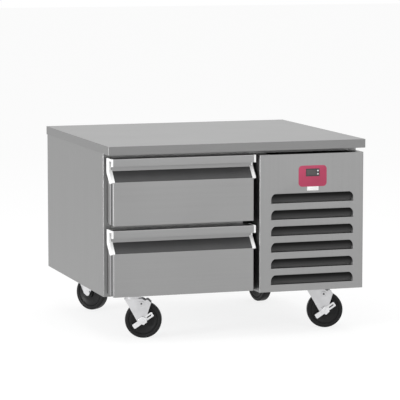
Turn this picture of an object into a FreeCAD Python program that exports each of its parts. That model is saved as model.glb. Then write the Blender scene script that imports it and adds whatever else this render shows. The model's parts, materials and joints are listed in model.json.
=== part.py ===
import FreeCAD, Part
import math
import os

import Sketcher

# Refrigerated drawer base: an insulated cabinet on four swivel casters, with two drawers on
# telescopic slides at the left and a louvred machine compartment at the right.
# Millimetres. X runs to the right, Y to the rear, Z up from the floor; the origin is on the
# floor under the middle of the worktop, and the drawers open towards -Y.

doc = FreeCAD.newDocument("drawer_base")
sheet = doc.addObject("Spreadsheet::Sheet", "sizes")


class Dim:
    """A length: its number, and the formula over the sheet's cells that gives it."""

    def __init__(self, value, text):
        self.value = value
        self.text = text

    def __add__(self, other):
        return Dim(self.value + num(other), f"({self.text} + {txt(other)})")

    def __radd__(self, other):
        return Dim(num(other) + self.value, f"({txt(other)} + {self.text})")

    def __sub__(self, other):
        return Dim(self.value - num(other), f"({self.text} - {txt(other)})")

    def __rsub__(self, other):
        return Dim(num(other) - self.value, f"({txt(other)} - {self.text})")

    def __mul__(self, other):
        return Dim(self.value * num(other), f"({self.text} * {txt(other)})")

    def __rmul__(self, other):
        return Dim(num(other) * self.value, f"({txt(other)} * {self.text})")

    def __truediv__(self, other):
        return Dim(self.value / num(other), f"({self.text} / {txt(other)})")

    def __neg__(self):
        return Dim(-self.value, f"(0 - {self.text})")


def num(length):
    return length.value if isinstance(length, Dim) else float(length)


def txt(length):
    return length.text if isinstance(length, Dim) else f"{float(length):.6f}"


rows_used = 0


def size(alias, value):
    """Write one driving size into the next row of the sheet and give it back as a Dim."""
    global rows_used
    rows_used += 1
    sheet.set(f"A{rows_used}", alias)
    sheet.set(f"B{rows_used}", str(value))
    sheet.setAlias(f"B{rows_used}", alias)
    return Dim(float(value), f"sizes.{alias}")


# Overall sizes
worktop_width = size("worktop_width", 927)
worktop_depth = size("worktop_depth", 838)
unit_height = size("unit_height", 678)

# Worktop: one folded sheet with turned-down edges and a return under them
worktop_edge = size("worktop_edge", 30)
worktop_gauge = size("worktop_gauge", 1.5)
worktop_return = size("worktop_return", 16)
worktop_corner = size("worktop_corner", 2.5)

# Cabinet
body_side_inset = size("body_side_inset", 3)
body_rear_inset = size("body_rear_inset", 3)
panel_gauge = size("panel_gauge", 1)
panel_flange = size("panel_flange", 28)
panel_rear_flange = size("panel_rear_flange", 15)
panel_bend = size("panel_bend", 4)
panel_seam = size("panel_seam", 0.6)
floor_gauge = size("floor_gauge", 2)
partition_width = size("partition_width", 38)
rear_insulation = size("rear_insulation", 50)
mullion_depth = size("mullion_depth", 40)
frame_seat = size("frame_seat", 16)
liner_gauge = size("liner_gauge", 0.8)
vent_drop = size("vent_drop", 90)
vent_pitch = size("vent_pitch", 24)
vent_height = size("vent_height", 9)
vent_inset = size("vent_inset", 60)
vent_count = 8

# Drawer fronts
drawer_side_gap = size("drawer_side_gap", 14)
drawer_low_gap = size("drawer_low_gap", 8.5)
drawer_between_gap = size("drawer_between_gap", 16)
drawer_top_gap = size("drawer_top_gap", 12.5)
drawer_face_setback = size("drawer_face_setback", 2)
drawer_thickness = size("drawer_thickness", 74)
gasket_gap = size("gasket_gap", 4)
opening_inset = size("opening_inset", 25)
skin_gauge = size("skin_gauge", 1.2)
skin_return = size("skin_return", 12)
skin_bend = size("skin_bend", 4)
groove_depth = size("groove_depth", 22)
groove_inset = size("groove_inset", 3)
rear_pan_inset = size("rear_pan_inset", 1)
gasket_inset = size("gasket_inset", 9)
gasket_width = size("gasket_width", 14)

# Grip: a lip over a recess, with a ramp that runs out to the face
lip_height = size("lip_height", 26)
lip_hem = size("lip_hem", 6)
recess_depth = size("recess_depth", 33)
recess_height = size("recess_height", 43.5)
grip_height = size("grip_height", 80)
grip_strip_gauge = size("grip_strip_gauge", 2)
end_cap_out = size("end_cap_out", 6.5)
end_cap_leg = size("end_cap_leg", 5.5)
end_cap_depth = size("end_cap_depth", 61)
cap_proud = size("cap_proud", 1)
cap_rim = size("cap_rim", 4)
cap_corner = size("cap_corner", 3)
cap_back_drop = size("cap_back_drop", 6)
cap_heel = size("cap_heel", 24)
cap_top_band = size("cap_top_band", 7.5)

# Telescopic slides and the pan frame that they carry
slide_rear_gap = size("slide_rear_gap", 7)
slide_front = size("slide_front", 14)
slide_drop = size("slide_drop", 34)
slide_gauge = size("slide_gauge", 1.5)
slide_clear = size("slide_clear", 0.3)
fixed_rail_height = size("fixed_rail_height", 46)
fixed_rail_depth = size("fixed_rail_depth", 14)
fixed_rail_lip = size("fixed_rail_lip", 4.5)
middle_rail_height = size("middle_rail_height", 40)
middle_rail_depth = size("middle_rail_depth", 14)
middle_rail_lip = size("middle_rail_lip", 4.5)
middle_rail_setback = size("middle_rail_setback", 3)
middle_rail_short = size("middle_rail_short", 8)
rail_gap = size("rail_gap", 1)
rail_side_gap = size("rail_side_gap", 2.5)
block_length = size("block_length", 40)
inner_rail_head = size("inner_rail_head", 20)
inner_rail_web = size("inner_rail_web", 6)
inner_rail_gauge = size("inner_rail_gauge", 3)
inner_rail_gap = size("inner_rail_gap", 3)
block_end_gap = size("block_end_gap", 5)
block_middle_gap = size("block_middle_gap", 9)
block_inner_gap = size("block_inner_gap", 21)
deck_drop = size("deck_drop", 14)
frame_rear_gap = size("frame_rear_gap", 51)
frame_side = size("frame_side", 64)
frame_gauge = size("frame_gauge", 1.5)
well_side = size("well_side", 39.5)
well_rim = size("well_rim", 30)
well_lip = size("well_lip", 12)
cross_bar = size("cross_bar", 16)

# Machine compartment cover and its louvres
cover_width = size("cover_width", 383)
cover_gap = size("cover_gap", 21)
cover_side_inset = size("cover_side_inset", 2)
cover_top_gap = size("cover_top_gap", 15)
cover_front_setback = size("cover_front_setback", 3)
cover_gauge = size("cover_gauge", 1.2)
cover_bend = size("cover_bend", 5)
louvre_height = size("louvre_height", 35)
louvre_pitch = size("louvre_pitch", 56.5)
louvre_low = size("louvre_low", 24.5)
louvre_left = size("louvre_left", 42)
louvre_right = size("louvre_right", 38)
louvre_top_gap = size("louvre_top_gap", 15)
louvre_corner = size("louvre_corner", 22)
louvre_depth = size("louvre_depth", 18)

# Control plate and temperature controller
plate_width = size("plate_width", 103)
plate_height = size("plate_height", 73)
plate_corner = size("plate_corner", 10)
plate_left = size("plate_left", 142)
plate_drop = size("plate_drop", 41)
plate_gauge = size("plate_gauge", 1)
bezel_width = size("bezel_width", 50)
bezel_height = size("bezel_height", 26.5)
bezel_left = size("bezel_left", 26.3)
bezel_drop = size("bezel_drop", 11)
bezel_proud = size("bezel_proud", 0.8)
controller_depth = size("controller_depth", 58)
controller_margin = size("controller_margin", 3)
button_side = size("button_side", 5.2)
button_clear = size("button_clear", 0.08)
button_inset = size("button_inset", 6)
button_spacing = size("button_spacing", 11)
button_proud = size("button_proud", 0.6)
button_travel = size("button_travel", 0.5)
button_stem = size("button_stem", 5)

# Refrigeration
coil_side_gap = size("coil_side_gap", 43.5)
coil_top_gap = size("coil_top_gap", 135)
coil_front_gap = size("coil_front_gap", 12)
coil_depth = size("coil_depth", 44)
coil_lift = size("coil_lift", 24)
coil_plate_reach = size("coil_plate_reach", 6)
shroud_depth = size("shroud_depth", 42)
fan_margin = size("fan_margin", 29)
fan_clear = size("fan_clear", 6)
fan_width = size("fan_width", 22)
fan_hub_radius = size("fan_hub_radius", 28)
fan_blade_gauge = size("fan_blade_gauge", 1.6)
fan_pitch_degrees = 35
blade_root_share = 0.4
blade_foot_share = 0.86
blade_tip_share = 0.78
blade_heel_share = 0.93
evaporator_hub_radius = size("evaporator_hub_radius", 22)
motor_radius = size("motor_radius", 40)
motor_length = size("motor_length", 56)
motor_arm_width = size("motor_arm_width", 12)
motor_arm_gauge = size("motor_arm_gauge", 4)
shaft_radius = size("shaft_radius", 4)
shaft_clear = size("shaft_clear", 0.05)
compressor_radius = size("compressor_radius", 78)
compressor_height = size("compressor_height", 190)
compressor_pan_gap = size("compressor_pan_gap", 20)
compressor_dome = size("compressor_dome", 26)
compressor_base_depth = size("compressor_base_depth", 130)
compressor_base_margin = size("compressor_base_margin", 12)
compressor_base_gauge = size("compressor_base_gauge", 2.5)
compressor_lift = size("compressor_lift", 14)
compressor_seat = size("compressor_seat", 3)
terminal_width = size("terminal_width", 52)
terminal_height = size("terminal_height", 60)
terminal_low = size("terminal_low", 70)
terminal_reach = size("terminal_reach", 24)
evaporator_depth = size("evaporator_depth", 84)
evaporator_side_gap = size("evaporator_side_gap", 25.5)
evaporator_end_gap = size("evaporator_end_gap", 45)
evaporator_gauge = size("evaporator_gauge", 1.2)
evaporator_fan_margin = size("evaporator_fan_margin", 68)
evaporator_fan_width = size("evaporator_fan_width", 18)
evaporator_fan_proud = size("evaporator_fan_proud", 2)
evaporator_coil_depth = size("evaporator_coil_depth", 40)
evaporator_motor_radius = size("evaporator_motor_radius", 26)
motor_bar_width = size("motor_bar_width", 18)
motor_bar_gauge = size("motor_bar_gauge", 3)
tube_radius = size("tube_radius", 4.8)
liquid_tube_radius = size("liquid_tube_radius", 3.2)
line_run = size("line_run", 20)
line_apart = size("line_apart", 11)
line_hole = size("line_hole", 20)
line_back_gap = size("line_back_gap", 26)
line_drop = size("line_drop", 90)
line_end_gap = size("line_end_gap", 30)
port_reach = size("port_reach", 28)
coil_end_inset = size("coil_end_inset", 30)
coil_end_gauge = size("coil_end_gauge", 2)
pan_width = size("pan_width", 200)
pan_depth = size("pan_depth", 150)
pan_height = size("pan_height", 36)
pan_inset = size("pan_inset", 10)
gland_bore = size("gland_bore", 4.5)
gland_radius = size("gland_radius", 11)
gland_length = size("gland_length", 26)
gland_flange = size("gland_flange", 2.5)
gland_right = size("gland_right", 60)
gland_lift = size("gland_lift", 70)

# Casters
wheel_radius = size("wheel_radius", 63.5)
wheel_width = size("wheel_width", 32)
wheel_edge = size("wheel_edge", 4)
wheel_dish = size("wheel_dish", 5)
wheel_gap = size("wheel_gap", 7.2)
hub_radius = size("hub_radius", 16)
caster_trail = size("caster_trail", 36)
caster_left = size("caster_left", 126.5)
caster_right = size("caster_right", 131)
caster_front = size("caster_front", 145)
caster_back = size("caster_back", 57)
top_plate_long = size("top_plate_long", 92)
top_plate_short = size("top_plate_short", 60)
top_plate_gauge = size("top_plate_gauge", 3.5)
bolt_spacing_long = size("bolt_spacing_long", 71)
bolt_spacing_short = size("bolt_spacing_short", 44)
bolt_head_height = size("bolt_head_height", 5.5)
race_radius = size("race_radius", 29)
race_height = size("race_height", 15)
king_pin_radius = size("king_pin_radius", 7)
king_pin_across = size("king_pin_across", 20)
king_pin_rim = size("king_pin_rim", 5)
crown_gauge = size("crown_gauge", 4)
pin_clear = size("pin_clear", 0.05)
fork_side_gap = size("fork_side_gap", 4)
fork_gauge = size("fork_gauge", 3)
fork_facet = size("fork_facet", 22)
fork_taper = size("fork_taper", 5.5)
fork_boss = size("fork_boss", 14)
fork_heel = size("fork_heel", 28)
fork_heel_height = size("fork_heel_height", 61)
fork_waist = size("fork_waist", 9)
axle_radius = size("axle_radius", 5)
axle_head_across = size("axle_head_across", 17)
axle_head_height = size("axle_head_height", 6)
brake_nut_across = size("brake_nut_across", 27)
lever_length = size("lever_length", 82)
lever_width = size("lever_width", 17)
lever_gauge = size("lever_gauge", 3)
lever_eye = size("lever_eye", 14)
lever_slot_length = size("lever_slot_length", 18)
lever_slot_width = size("lever_slot_width", 4)
lever_slot_inset = size("lever_slot_inset", 6)
lever_tilt_degrees = 35
nut_across = size("nut_across", 13)
nut_height = size("nut_height", 6.5)
nut_pocket = size("nut_pocket", 18)
part_clear = size("part_clear", 0.3)

doc.recompute()


def smaller(first, second):
    return first if num(first) <= num(second) else second


def larger(first, second):
    return first if num(first) >= num(second) else second


# Places that several pieces share
left_edge = -(worktop_width / 2)
right_edge = worktop_width / 2
front_edge = -(worktop_depth / 2)
rear_edge = worktop_depth / 2
body_left = left_edge + body_side_inset
body_right = right_edge - body_side_inset
drawer_face = front_edge + drawer_face_setback
drawer_rear = drawer_face + drawer_thickness
body_front = drawer_rear + gasket_gap
body_back = rear_edge - body_rear_inset
caster_height = (
    2 * wheel_radius + wheel_gap + crown_gauge + race_height + part_clear + top_plate_gauge
)
body_low = caster_height
body_high = unit_height - worktop_edge
frame_back = body_front + panel_gauge
floor_top = body_low + floor_gauge

cover_right = body_right - cover_side_inset
cover_left = cover_right - cover_width
cover_front = front_edge + cover_front_setback
cover_high = body_high - cover_top_gap

drawer_height = (body_high - body_low - drawer_low_gap - drawer_between_gap - drawer_top_gap) / 2
drawer_left = body_left + drawer_side_gap
drawer_right = cover_left - cover_gap
drawer_low = {"lower": body_low + drawer_low_gap}
drawer_low["upper"] = drawer_low["lower"] + drawer_height + drawer_between_gap

opening_left = drawer_left + opening_inset
opening_right = drawer_right - opening_inset
opening_low = {name: low + opening_inset for name, low in drawer_low.items()}
opening_high = {name: low + drawer_height - opening_inset for name, low in drawer_low.items()}
partition_right = opening_right + partition_width
liner_back = body_back - rear_insulation
evaporator_front = liner_back - evaporator_depth
line_y = liner_back - line_back_gap
line_z = opening_high["upper"] - line_drop
fork_inside = wheel_width + 2 * fork_side_gap


# Modelling helpers
def bind(thing, prop, length):
    """Tie a property to the sheet, or set it where it is a plain number."""
    if isinstance(length, Dim):
        thing.setExpression(prop, length.text)
    elif "." in prop:
        thing.setExpression(prop, txt(length))
    else:
        setattr(thing, prop, float(length))


def origin_feature(body, role):
    return next(f for f in body.Origin.OriginFeatures if f.Role == role)


def point(u, v):
    return FreeCAD.Vector(num(u), num(v), 0)


class Outline:
    """Draws closed outlines into a sketch and ties each point and radius to the sheet."""

    def __init__(self, sketch):
        self.sketch = sketch
        self.bindings = []

    def constrain(self, kind, *where):
        length = where[-1]
        if kind in ("DistanceX", "DistanceY", "Radius"):
            index = self.sketch.addConstraint(Sketcher.Constraint(kind, *where[:-1], num(length)))
            if isinstance(length, Dim):
                self.bindings.append((index, length))
        else:
            self.sketch.addConstraint(Sketcher.Constraint(kind, *where))

    def place(self, shape, end, u, v):
        self.constrain("DistanceX", -1, 1, shape, end, u)
        self.constrain("DistanceY", -1, 1, shape, end, v)

    def circle(self, u, v, radius):
        ring = Part.Circle(point(u, v), FreeCAD.Vector(0, 0, 1), num(radius))
        shape = self.sketch.addGeometry(ring, False)
        self.place(shape, 3, u, v)
        self.constrain("Radius", shape, radius)

    def polygon(self, corners):
        """Corners are (u, v), or (u, v, radius) for a rounded corner."""
        ends = [self.corner_ends(corners, k) for k in range(len(corners))]
        lines = []
        for k in range(len(corners)):
            start, stop = ends[k][1], ends[(k + 1) % len(corners)][0]
            line = Part.LineSegment(point(*start), point(*stop))
            lines.append(self.sketch.addGeometry(line, False))
        for k in range(len(corners)):
            before, after = lines[k - 1], lines[k]
            start, stop, radius, centre, left_turn = ends[k]
            self.place(after, 1, *stop)
            if radius is None:
                self.constrain("Coincident", before, 2, after, 1)
                continue
            self.place(before, 2, *start)
            self.arc(before, after, start, stop, radius, centre, left_turn)

    def arc(self, before, after, start, stop, radius, centre, left_turn):
        first, last = (start, stop) if left_turn else (stop, start)
        angles = [math.atan2(num(v) - centre.y, num(u) - centre.x) for u, v in (first, last)]
        ring = Part.Circle(centre, FreeCAD.Vector(0, 0, 1), num(radius))
        shape = self.sketch.addGeometry(Part.ArcOfCircle(ring, angles[0], angles[1]), False)
        self.constrain("Coincident", before, 2, shape, 1 if left_turn else 2)
        self.constrain("Coincident", after, 1, shape, 2 if left_turn else 1)
        self.constrain("Radius", shape, radius)

    def corner_ends(self, corners, k):
        u, v = corners[k][0], corners[k][1]
        if len(corners[k]) == 2:
            return (u, v), (u, v), None, None, True
        radius = corners[k][2]
        here = point(u, v)
        before = (here - point(*corners[k - 1][:2])).normalize()
        after = (point(*corners[(k + 1) % len(corners)][:2]) - here).normalize()
        turn = math.atan2(before.cross(after).z, before.dot(after))
        reach = radius * math.tan(abs(turn) / 2)
        start = (u - reach * before.x, v - reach * before.y)
        stop = (u + reach * after.x, v + reach * after.y)
        side = 1 if turn > 0 else -1
        inward = FreeCAD.Vector(-before.y * side, before.x * side, 0) * num(radius)
        return start, stop, radius, point(*start) + inward, turn > 0

    def finish(self):
        for index, length in self.bindings:
            self.sketch.setExpression(f"Constraints[{index}]", length.text)


class Piece:
    """One body, built from pads, cuts and turned profiles in the object's own axes."""

    def __init__(self, label):
        self.body = doc.addObject("PartDesign::Body", label)
        self.body.Label = label
        self.parts = 0

    def sketch(self, plane, level, outlines):
        self.parts += 1
        name = f"{self.body.Name}_outline_{self.parts}"
        flat = self.body.newObject("Sketcher::SketchObject", name)
        flat.AttachmentSupport = [(origin_feature(self.body, f"{plane}_Plane"), "")]
        flat.MapMode = "FlatFace"
        bind(flat, "AttachmentOffset.Base.z", -level if plane == "XZ" else level)
        drawing = Outline(flat)
        for outline in outlines:
            if outline[0] == "circle":
                drawing.circle(*outline[1:])
            else:
                drawing.polygon(outline)
        drawing.finish()
        return flat

    def feature(self, kind, plane, low, high, outlines):
        flat = self.sketch(plane, low, outlines)
        made = self.body.newObject(f"PartDesign::{kind}", f"{flat.Name}_{kind.lower()}")
        made.Profile = flat
        bind(made, "Length", high - low)
        made.Reversed = (plane == "XZ") == (kind == "Pad")
        self.body.Tip = made
        return made

    def pad(self, plane, low, high, *outlines):
        """Add material between two levels along the plane's axis."""
        self.feature("Pad", plane, low, high, outlines)
        return self

    def cut(self, plane, low, high, *outlines):
        """Take material away between two levels along the plane's axis."""
        doc.recompute()
        before = self.body.Shape.Volume
        self.feature("Pocket", plane, low, high, outlines)
        doc.recompute()
        if self.body.Shape.Volume > before - 1e-3:
            raise ValueError(f"{self.body.Label}: a cut took nothing away")
        return self

    def turn(self, outline):
        """Revolve an outline of (radius, height) about the Z axis."""
        flat = self.sketch("XZ", 0, [outline])
        made = self.body.newObject("PartDesign::Revolution", f"{flat.Name}_turned")
        made.Profile = flat
        made.ReferenceAxis = (origin_feature(self.body, "Z_Axis"), [""])
        made.Angle = 360
        self.body.Tip = made
        return self

    def place(self, x, y, z, turns=None):
        put(self.body, x, y, z, turns)
        return self


def put(thing, x, y, z, turns=None):
    """Place a piece; turns is a rotation, given as a FreeCAD.Rotation."""
    thing.Placement = FreeCAD.Placement(
        FreeCAD.Vector(num(x), num(y), num(z)), turns or FreeCAD.Rotation()
    )
    for axis, length in zip("xyz", (x, y, z)):
        if isinstance(length, Dim):
            thing.setExpression(f"Placement.Base.{axis}", length.text)


def rectangle(u0, u1, v0, v1, radius=None):
    corners = [(u0, v0), (u1, v0), (u1, v1), (u0, v1)]
    return [(u, v, radius) for u, v in corners] if radius is not None else corners


def circle(u, v, radius):
    return ("circle", u, v, radius)


def hexagon(across_flats, u=0, v=0):
    radius = across_flats / (2 * math.cos(math.pi / 6))
    turns = [math.pi / 3 * k for k in range(6)]
    return [(u + radius * math.cos(a), v + radius * math.sin(a)) for a in turns]


def line_opening():
    """Where the refrigerant lines pass a wall, in (y, z)."""
    return rectangle(line_y - line_hole, line_y + line_hole, line_z - line_hole, line_z + line_hole)


def folded(path, gauge, left=True):
    """The outline of a folded sheet: the path, then the same path one gauge to one side.

    A path point is (u, v), or (u, v, radius) where that side of the bend is rounded.
    """
    side = 1 if left else -1
    points = [point(*p[:2]) for p in path]
    away = []
    for k, here in enumerate(path):
        runs = []
        if k > 0:
            runs.append((points[k] - points[k - 1]).normalize())
        if k < len(path) - 1:
            runs.append((points[k + 1] - points[k]).normalize())
        normals = [FreeCAD.Vector(-run.y * side, run.x * side, 0) for run in runs]
        total = normals[0] if len(normals) == 1 else normals[0] + normals[1]
        shift = total * (1 / total.dot(normals[0]))
        u, v = here[0] + gauge * shift.x, here[1] + gauge * shift.y
        if len(here) == 3:
            bends_in = runs[0].cross(runs[1]).z * side > 0
            radius = here[2] - gauge if bends_in else here[2] + gauge
            away.append((u, v, radius))
        else:
            away.append((u, v))
    return list(path) + away[::-1]


def joined(kind, label, pieces):
    """One node out of several objects: Part::MultiFuse, Part::MultiCommon or Part::Compound."""
    made = doc.addObject(kind, label)
    made.Label = label
    objects = [piece.body if isinstance(piece, Piece) else piece for piece in pieces]
    if kind == "Part::Compound":
        made.Links = objects
    else:
        made.Shapes = objects
    return made


def without(label, base, tool):
    made = doc.addObject("Part::Cut", label)
    made.Label = label
    made.Base = base.body if isinstance(base, Piece) else base
    made.Tool = tool.body if isinstance(tool, Piece) else tool
    return made


def prism(label, sides, across, height, x, y, z, turns=None):
    """A straight prism, its size given across its flats."""
    made = doc.addObject("Part::Prism", label)
    made.Polygon = sides
    bind(made, "Circumradius", across / (2 * math.cos(math.pi / sides)))
    bind(made, "Height", height)
    put(made, x, y, z, turns)
    return made


nodes = {}


def keep(node, piece):
    """Name a finished sub-part; the name is its label and its file."""
    thing = piece.body if isinstance(piece, Piece) else piece
    thing.Label = node
    nodes[node] = thing
    return thing


along_y = FreeCAD.Rotation(FreeCAD.Vector(1, 0, 0), -90)


# Worktop
def worktop():
    piece = Piece("worktop")
    outer = rectangle(left_edge, right_edge, front_edge, rear_edge, worktop_corner)
    cavity = rectangle(
        left_edge + worktop_gauge,
        right_edge - worktop_gauge,
        front_edge + worktop_gauge,
        rear_edge - worktop_gauge,
    )
    mouth = rectangle(*core_outline())
    piece.pad("XY", body_high, unit_height, outer)
    piece.cut("XY", body_high + worktop_gauge, unit_height - worktop_gauge, cavity)
    piece.cut("XY", body_high, body_high + worktop_gauge, mouth)
    keep("worktop", piece)


def core_outline():
    """Where the insulation reaches up into the worktop, inside its returns."""
    return (
        left_edge + worktop_return,
        right_edge - worktop_return,
        frame_back,
        rear_edge - worktop_return,
    )


# Cabinet shell
def side_panel(node, skin, inward):
    """A side skin, folded round at the front and the rear; inward is +1 on the left."""
    rear = body_back - panel_gauge
    path = [
        (skin + inward * panel_flange, body_front),
        (skin, body_front, panel_bend),
        (skin, rear),
        (skin + inward * panel_rear_flange, rear),
    ]
    piece = Piece(node)
    piece.pad("XY", body_low, body_high, folded(path, panel_gauge, inward < 0))
    keep(node, piece)


def back_panel():
    """The rear skin, with vent slots behind the machine compartment and the gland's hole."""
    piece = Piece("back_panel")
    piece.pad(
        "XZ",
        body_back - panel_gauge,
        body_back,
        rectangle(body_left, body_right, body_low, body_high),
    )
    slots = []
    for k in range(vent_count):
        low = body_high - vent_drop - k * vent_pitch
        slots.append(rectangle(vent_left, vent_right, low, low + vent_height))
    slots.append(circle(gland_x, gland_z, gland_radius - gland_flange))
    piece.cut("XZ", body_back - panel_gauge, body_back, *slots)
    keep("back_panel", piece)


vent_left = partition_right + vent_inset
vent_right = body_right - vent_inset
gland_x = body_right - gland_right
gland_z = body_low + gland_lift


def bottom_panel():
    piece = Piece("bottom_panel")
    left, right = body_left + panel_gauge, body_right - panel_gauge
    rear = body_back - 2 * panel_gauge
    inside_bend = panel_bend - panel_gauge
    outline = [
        (left, frame_back, inside_bend),
        (right, frame_back, inside_bend),
        (right, rear),
        (left, rear),
    ]
    piece.pad("XY", body_low, floor_top, outline)
    keep("bottom_panel", piece)


def front_frame():
    """The face frame round the openings, the mullion box and the partition's outer skin."""
    piece = Piece("front_frame")
    left = body_left + panel_flange + panel_seam
    right = body_right - panel_flange - panel_seam
    piece.pad("XZ", body_front, frame_back, rectangle(left, right, body_low, body_high))
    holes = [
        rectangle(opening_left, opening_right, opening_low[name], opening_high[name])
        for name in ("lower", "upper")
    ]
    seat = frame_seat
    holes.append(rectangle(cover_left + seat, right - seat, body_low + seat, cover_high - seat))
    piece.cut("XZ", body_front, frame_back, *holes)
    box_outer = rectangle(
        frame_back, body_front + mullion_depth, opening_high["lower"], opening_low["upper"]
    )
    box_inner = rectangle(
        frame_back,
        body_front + mullion_depth - panel_gauge,
        opening_high["lower"] + panel_gauge,
        opening_low["upper"] - panel_gauge,
    )
    piece.pad("YZ", opening_left, opening_right, box_outer)
    piece.cut("YZ", opening_left + panel_gauge, opening_right - panel_gauge, box_inner)
    skin = rectangle(
        partition_right - panel_gauge, partition_right, frame_back, body_back - 2 * panel_gauge
    )
    piece.pad("XY", floor_top, body_high, skin)
    piece.cut("YZ", partition_right - panel_gauge, partition_right, line_opening())
    keep("front_frame", piece)


def cabinet_foam():
    """Foamed-in insulation: floor, walls, ceiling, and the core under the worktop."""
    piece = Piece("cabinet_foam")
    left, right = body_left + panel_gauge, partition_right - panel_gauge
    rear = body_back - 2 * panel_gauge
    outline = [
        (left, frame_back, panel_bend - panel_gauge),
        (right, frame_back),
        (right, rear),
        (left, rear),
    ]
    piece.pad("XY", floor_top, body_high, outline)
    piece.pad("XY", body_high, unit_height - worktop_gauge, rectangle(*core_outline()))
    cavity = rectangle(
        opening_left - liner_gauge,
        opening_right + liner_gauge,
        opening_low["lower"] - liner_gauge,
        opening_high["upper"] + liner_gauge,
    )
    piece.cut("XZ", frame_back, liner_back + liner_gauge, cavity)
    piece.cut("YZ", opening_right + liner_gauge, right, line_opening())
    half = nut_pocket / 2
    pockets = [
        rectangle(x - half, x + half, y - half, y + half)
        for x, y in bolt_places()
        if num(x) < num(partition_right)
    ]
    piece.cut("XY", floor_top, floor_top + nut_height + part_clear, *pockets)
    keep("cabinet_foam", piece)


def inner_liner():
    """The food compartment's lining, open at the front."""
    piece = Piece("inner_liner")
    low, high = opening_low["lower"], opening_high["upper"]
    outer = rectangle(
        opening_left - liner_gauge,
        opening_right + liner_gauge,
        low - liner_gauge,
        high + liner_gauge,
    )
    piece.pad("XZ", frame_back, liner_back + liner_gauge, outer)
    piece.cut("XZ", frame_back, liner_back, rectangle(opening_left, opening_right, low, high))
    piece.cut("YZ", opening_right, opening_right + liner_gauge, line_opening())
    keep("inner_liner", piece)


# Drawers
def grip_points(top):
    """Corners of the grip's front profile in (y, z): ramp foot, ramp top, recess top."""
    back = drawer_face + recess_depth
    foot = (drawer_face, top - grip_height)
    ramp_top = (back, top - recess_height)
    return foot, ramp_top, (back, top)


def outer_skin(name, low):
    """The drawer's outer skin: a shallow face pan that folds into ramp, recess and lip."""
    top = low + drawer_height
    foot, ramp_top, recess_top = grip_points(top)
    face = Piece(f"{name}_face")
    pan_rear = drawer_face + skin_return
    face.pad(
        "XY",
        low,
        foot[1],
        [
            (drawer_left, pan_rear),
            (drawer_left, drawer_face, skin_bend),
            (drawer_right, drawer_face, skin_bend),
            (drawer_right, pan_rear),
        ],
    )
    hollow = [
        (drawer_left + skin_gauge, pan_rear),
        (drawer_left + skin_gauge, drawer_face + skin_gauge, skin_bend - skin_gauge),
        (drawer_right - skin_gauge, drawer_face + skin_gauge, skin_bend - skin_gauge),
        (drawer_right - skin_gauge, pan_rear),
    ]
    face.cut("XY", low + skin_gauge, foot[1], hollow)
    path = [
        (drawer_face, foot[1] - skin_gauge),
        foot,
        ramp_top,
        (recess_top[0], top - skin_gauge),
        (drawer_face + skin_gauge, top - skin_gauge, skin_gauge),
        (drawer_face + skin_gauge, top - lip_height + skin_gauge),
        (drawer_face + lip_hem, top - lip_height + skin_gauge),
    ]
    fold = folded(path, skin_gauge, False)
    face.pad("YZ", drawer_left, drawer_right, fold)
    keep(f"{name}_outer_skin", face)


def grip_strip(name, low):
    """The dark moulded strip that lies on the ramp between the end caps."""
    top = low + drawer_height
    foot, ramp_top, _ = grip_points(top)
    run = (point(*ramp_top) - point(*foot)).normalize()
    up = FreeCAD.Vector(-run.y, run.x, 0)
    start = (foot[0] + skin_gauge * run.x, foot[1] + skin_gauge * run.y)
    stop = (ramp_top[0] - grip_strip_gauge * run.x, ramp_top[1] - grip_strip_gauge * run.y)
    lifted = [
        (stop[0] + grip_strip_gauge * up.x, stop[1] + grip_strip_gauge * up.y),
        (drawer_face, start[1] + grip_strip_gauge * up.y),
    ]
    piece = Piece(f"{name}_grip_strip")
    piece.pad(
        "YZ",
        drawer_left + end_cap_leg,
        drawer_right - end_cap_leg,
        [start, stop, lifted[0], lifted[1]],
    )
    keep(f"{name}_grip_strip", piece)


def end_cap_outline(top):
    """The cap's C outline in (y, z): hook, top bar, back strip and slanted leg."""
    foot, ramp_top, _ = grip_points(top)
    front = drawer_face - cap_proud
    rear = front + end_cap_depth
    return [
        (front, top),
        (rear, top, cap_corner),
        (rear, ramp_top[1] - cap_back_drop),
        (front + cap_heel, foot[1] - cap_back_drop),
        (front, foot[1]),
        (front, foot[1] + cap_rim),
        (ramp_top[0], ramp_top[1] + cap_rim),
        (ramp_top[0], top - cap_top_band),
        (front + cap_rim, top - cap_top_band),
        (front + cap_rim, top - lip_height),
        (front, top - lip_height),
    ]


def end_caps(name, low):
    """A pair of end caps that close the lip, and whose legs run along the ramp."""
    top = low + drawer_height
    foot, ramp_top, _ = grip_points(top)
    caps = []
    for side, edge, out in (("left", drawer_left, -1), ("right", drawer_right, 1)):
        cap = Piece(f"{name}_end_cap_{side}")
        ends = (edge - end_cap_out, edge) if out < 0 else (edge, edge + end_cap_out)
        cap.pad("YZ", ends[0], ends[1], end_cap_outline(top))
        leg = (edge, edge + end_cap_leg) if out < 0 else (edge - end_cap_leg, edge)
        bar = [
            foot,
            ramp_top,
            (ramp_top[0], ramp_top[1] + cap_rim),
            (foot[0] - cap_proud, foot[1] + cap_rim),
            (foot[0] - cap_proud, foot[1]),
        ]
        cap.pad("YZ", leg[0], leg[1], bar)
        caps.append(cap)
    keep(f"{name}_end_caps", joined("Part::Compound", f"{name}_end_caps", caps))


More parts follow.
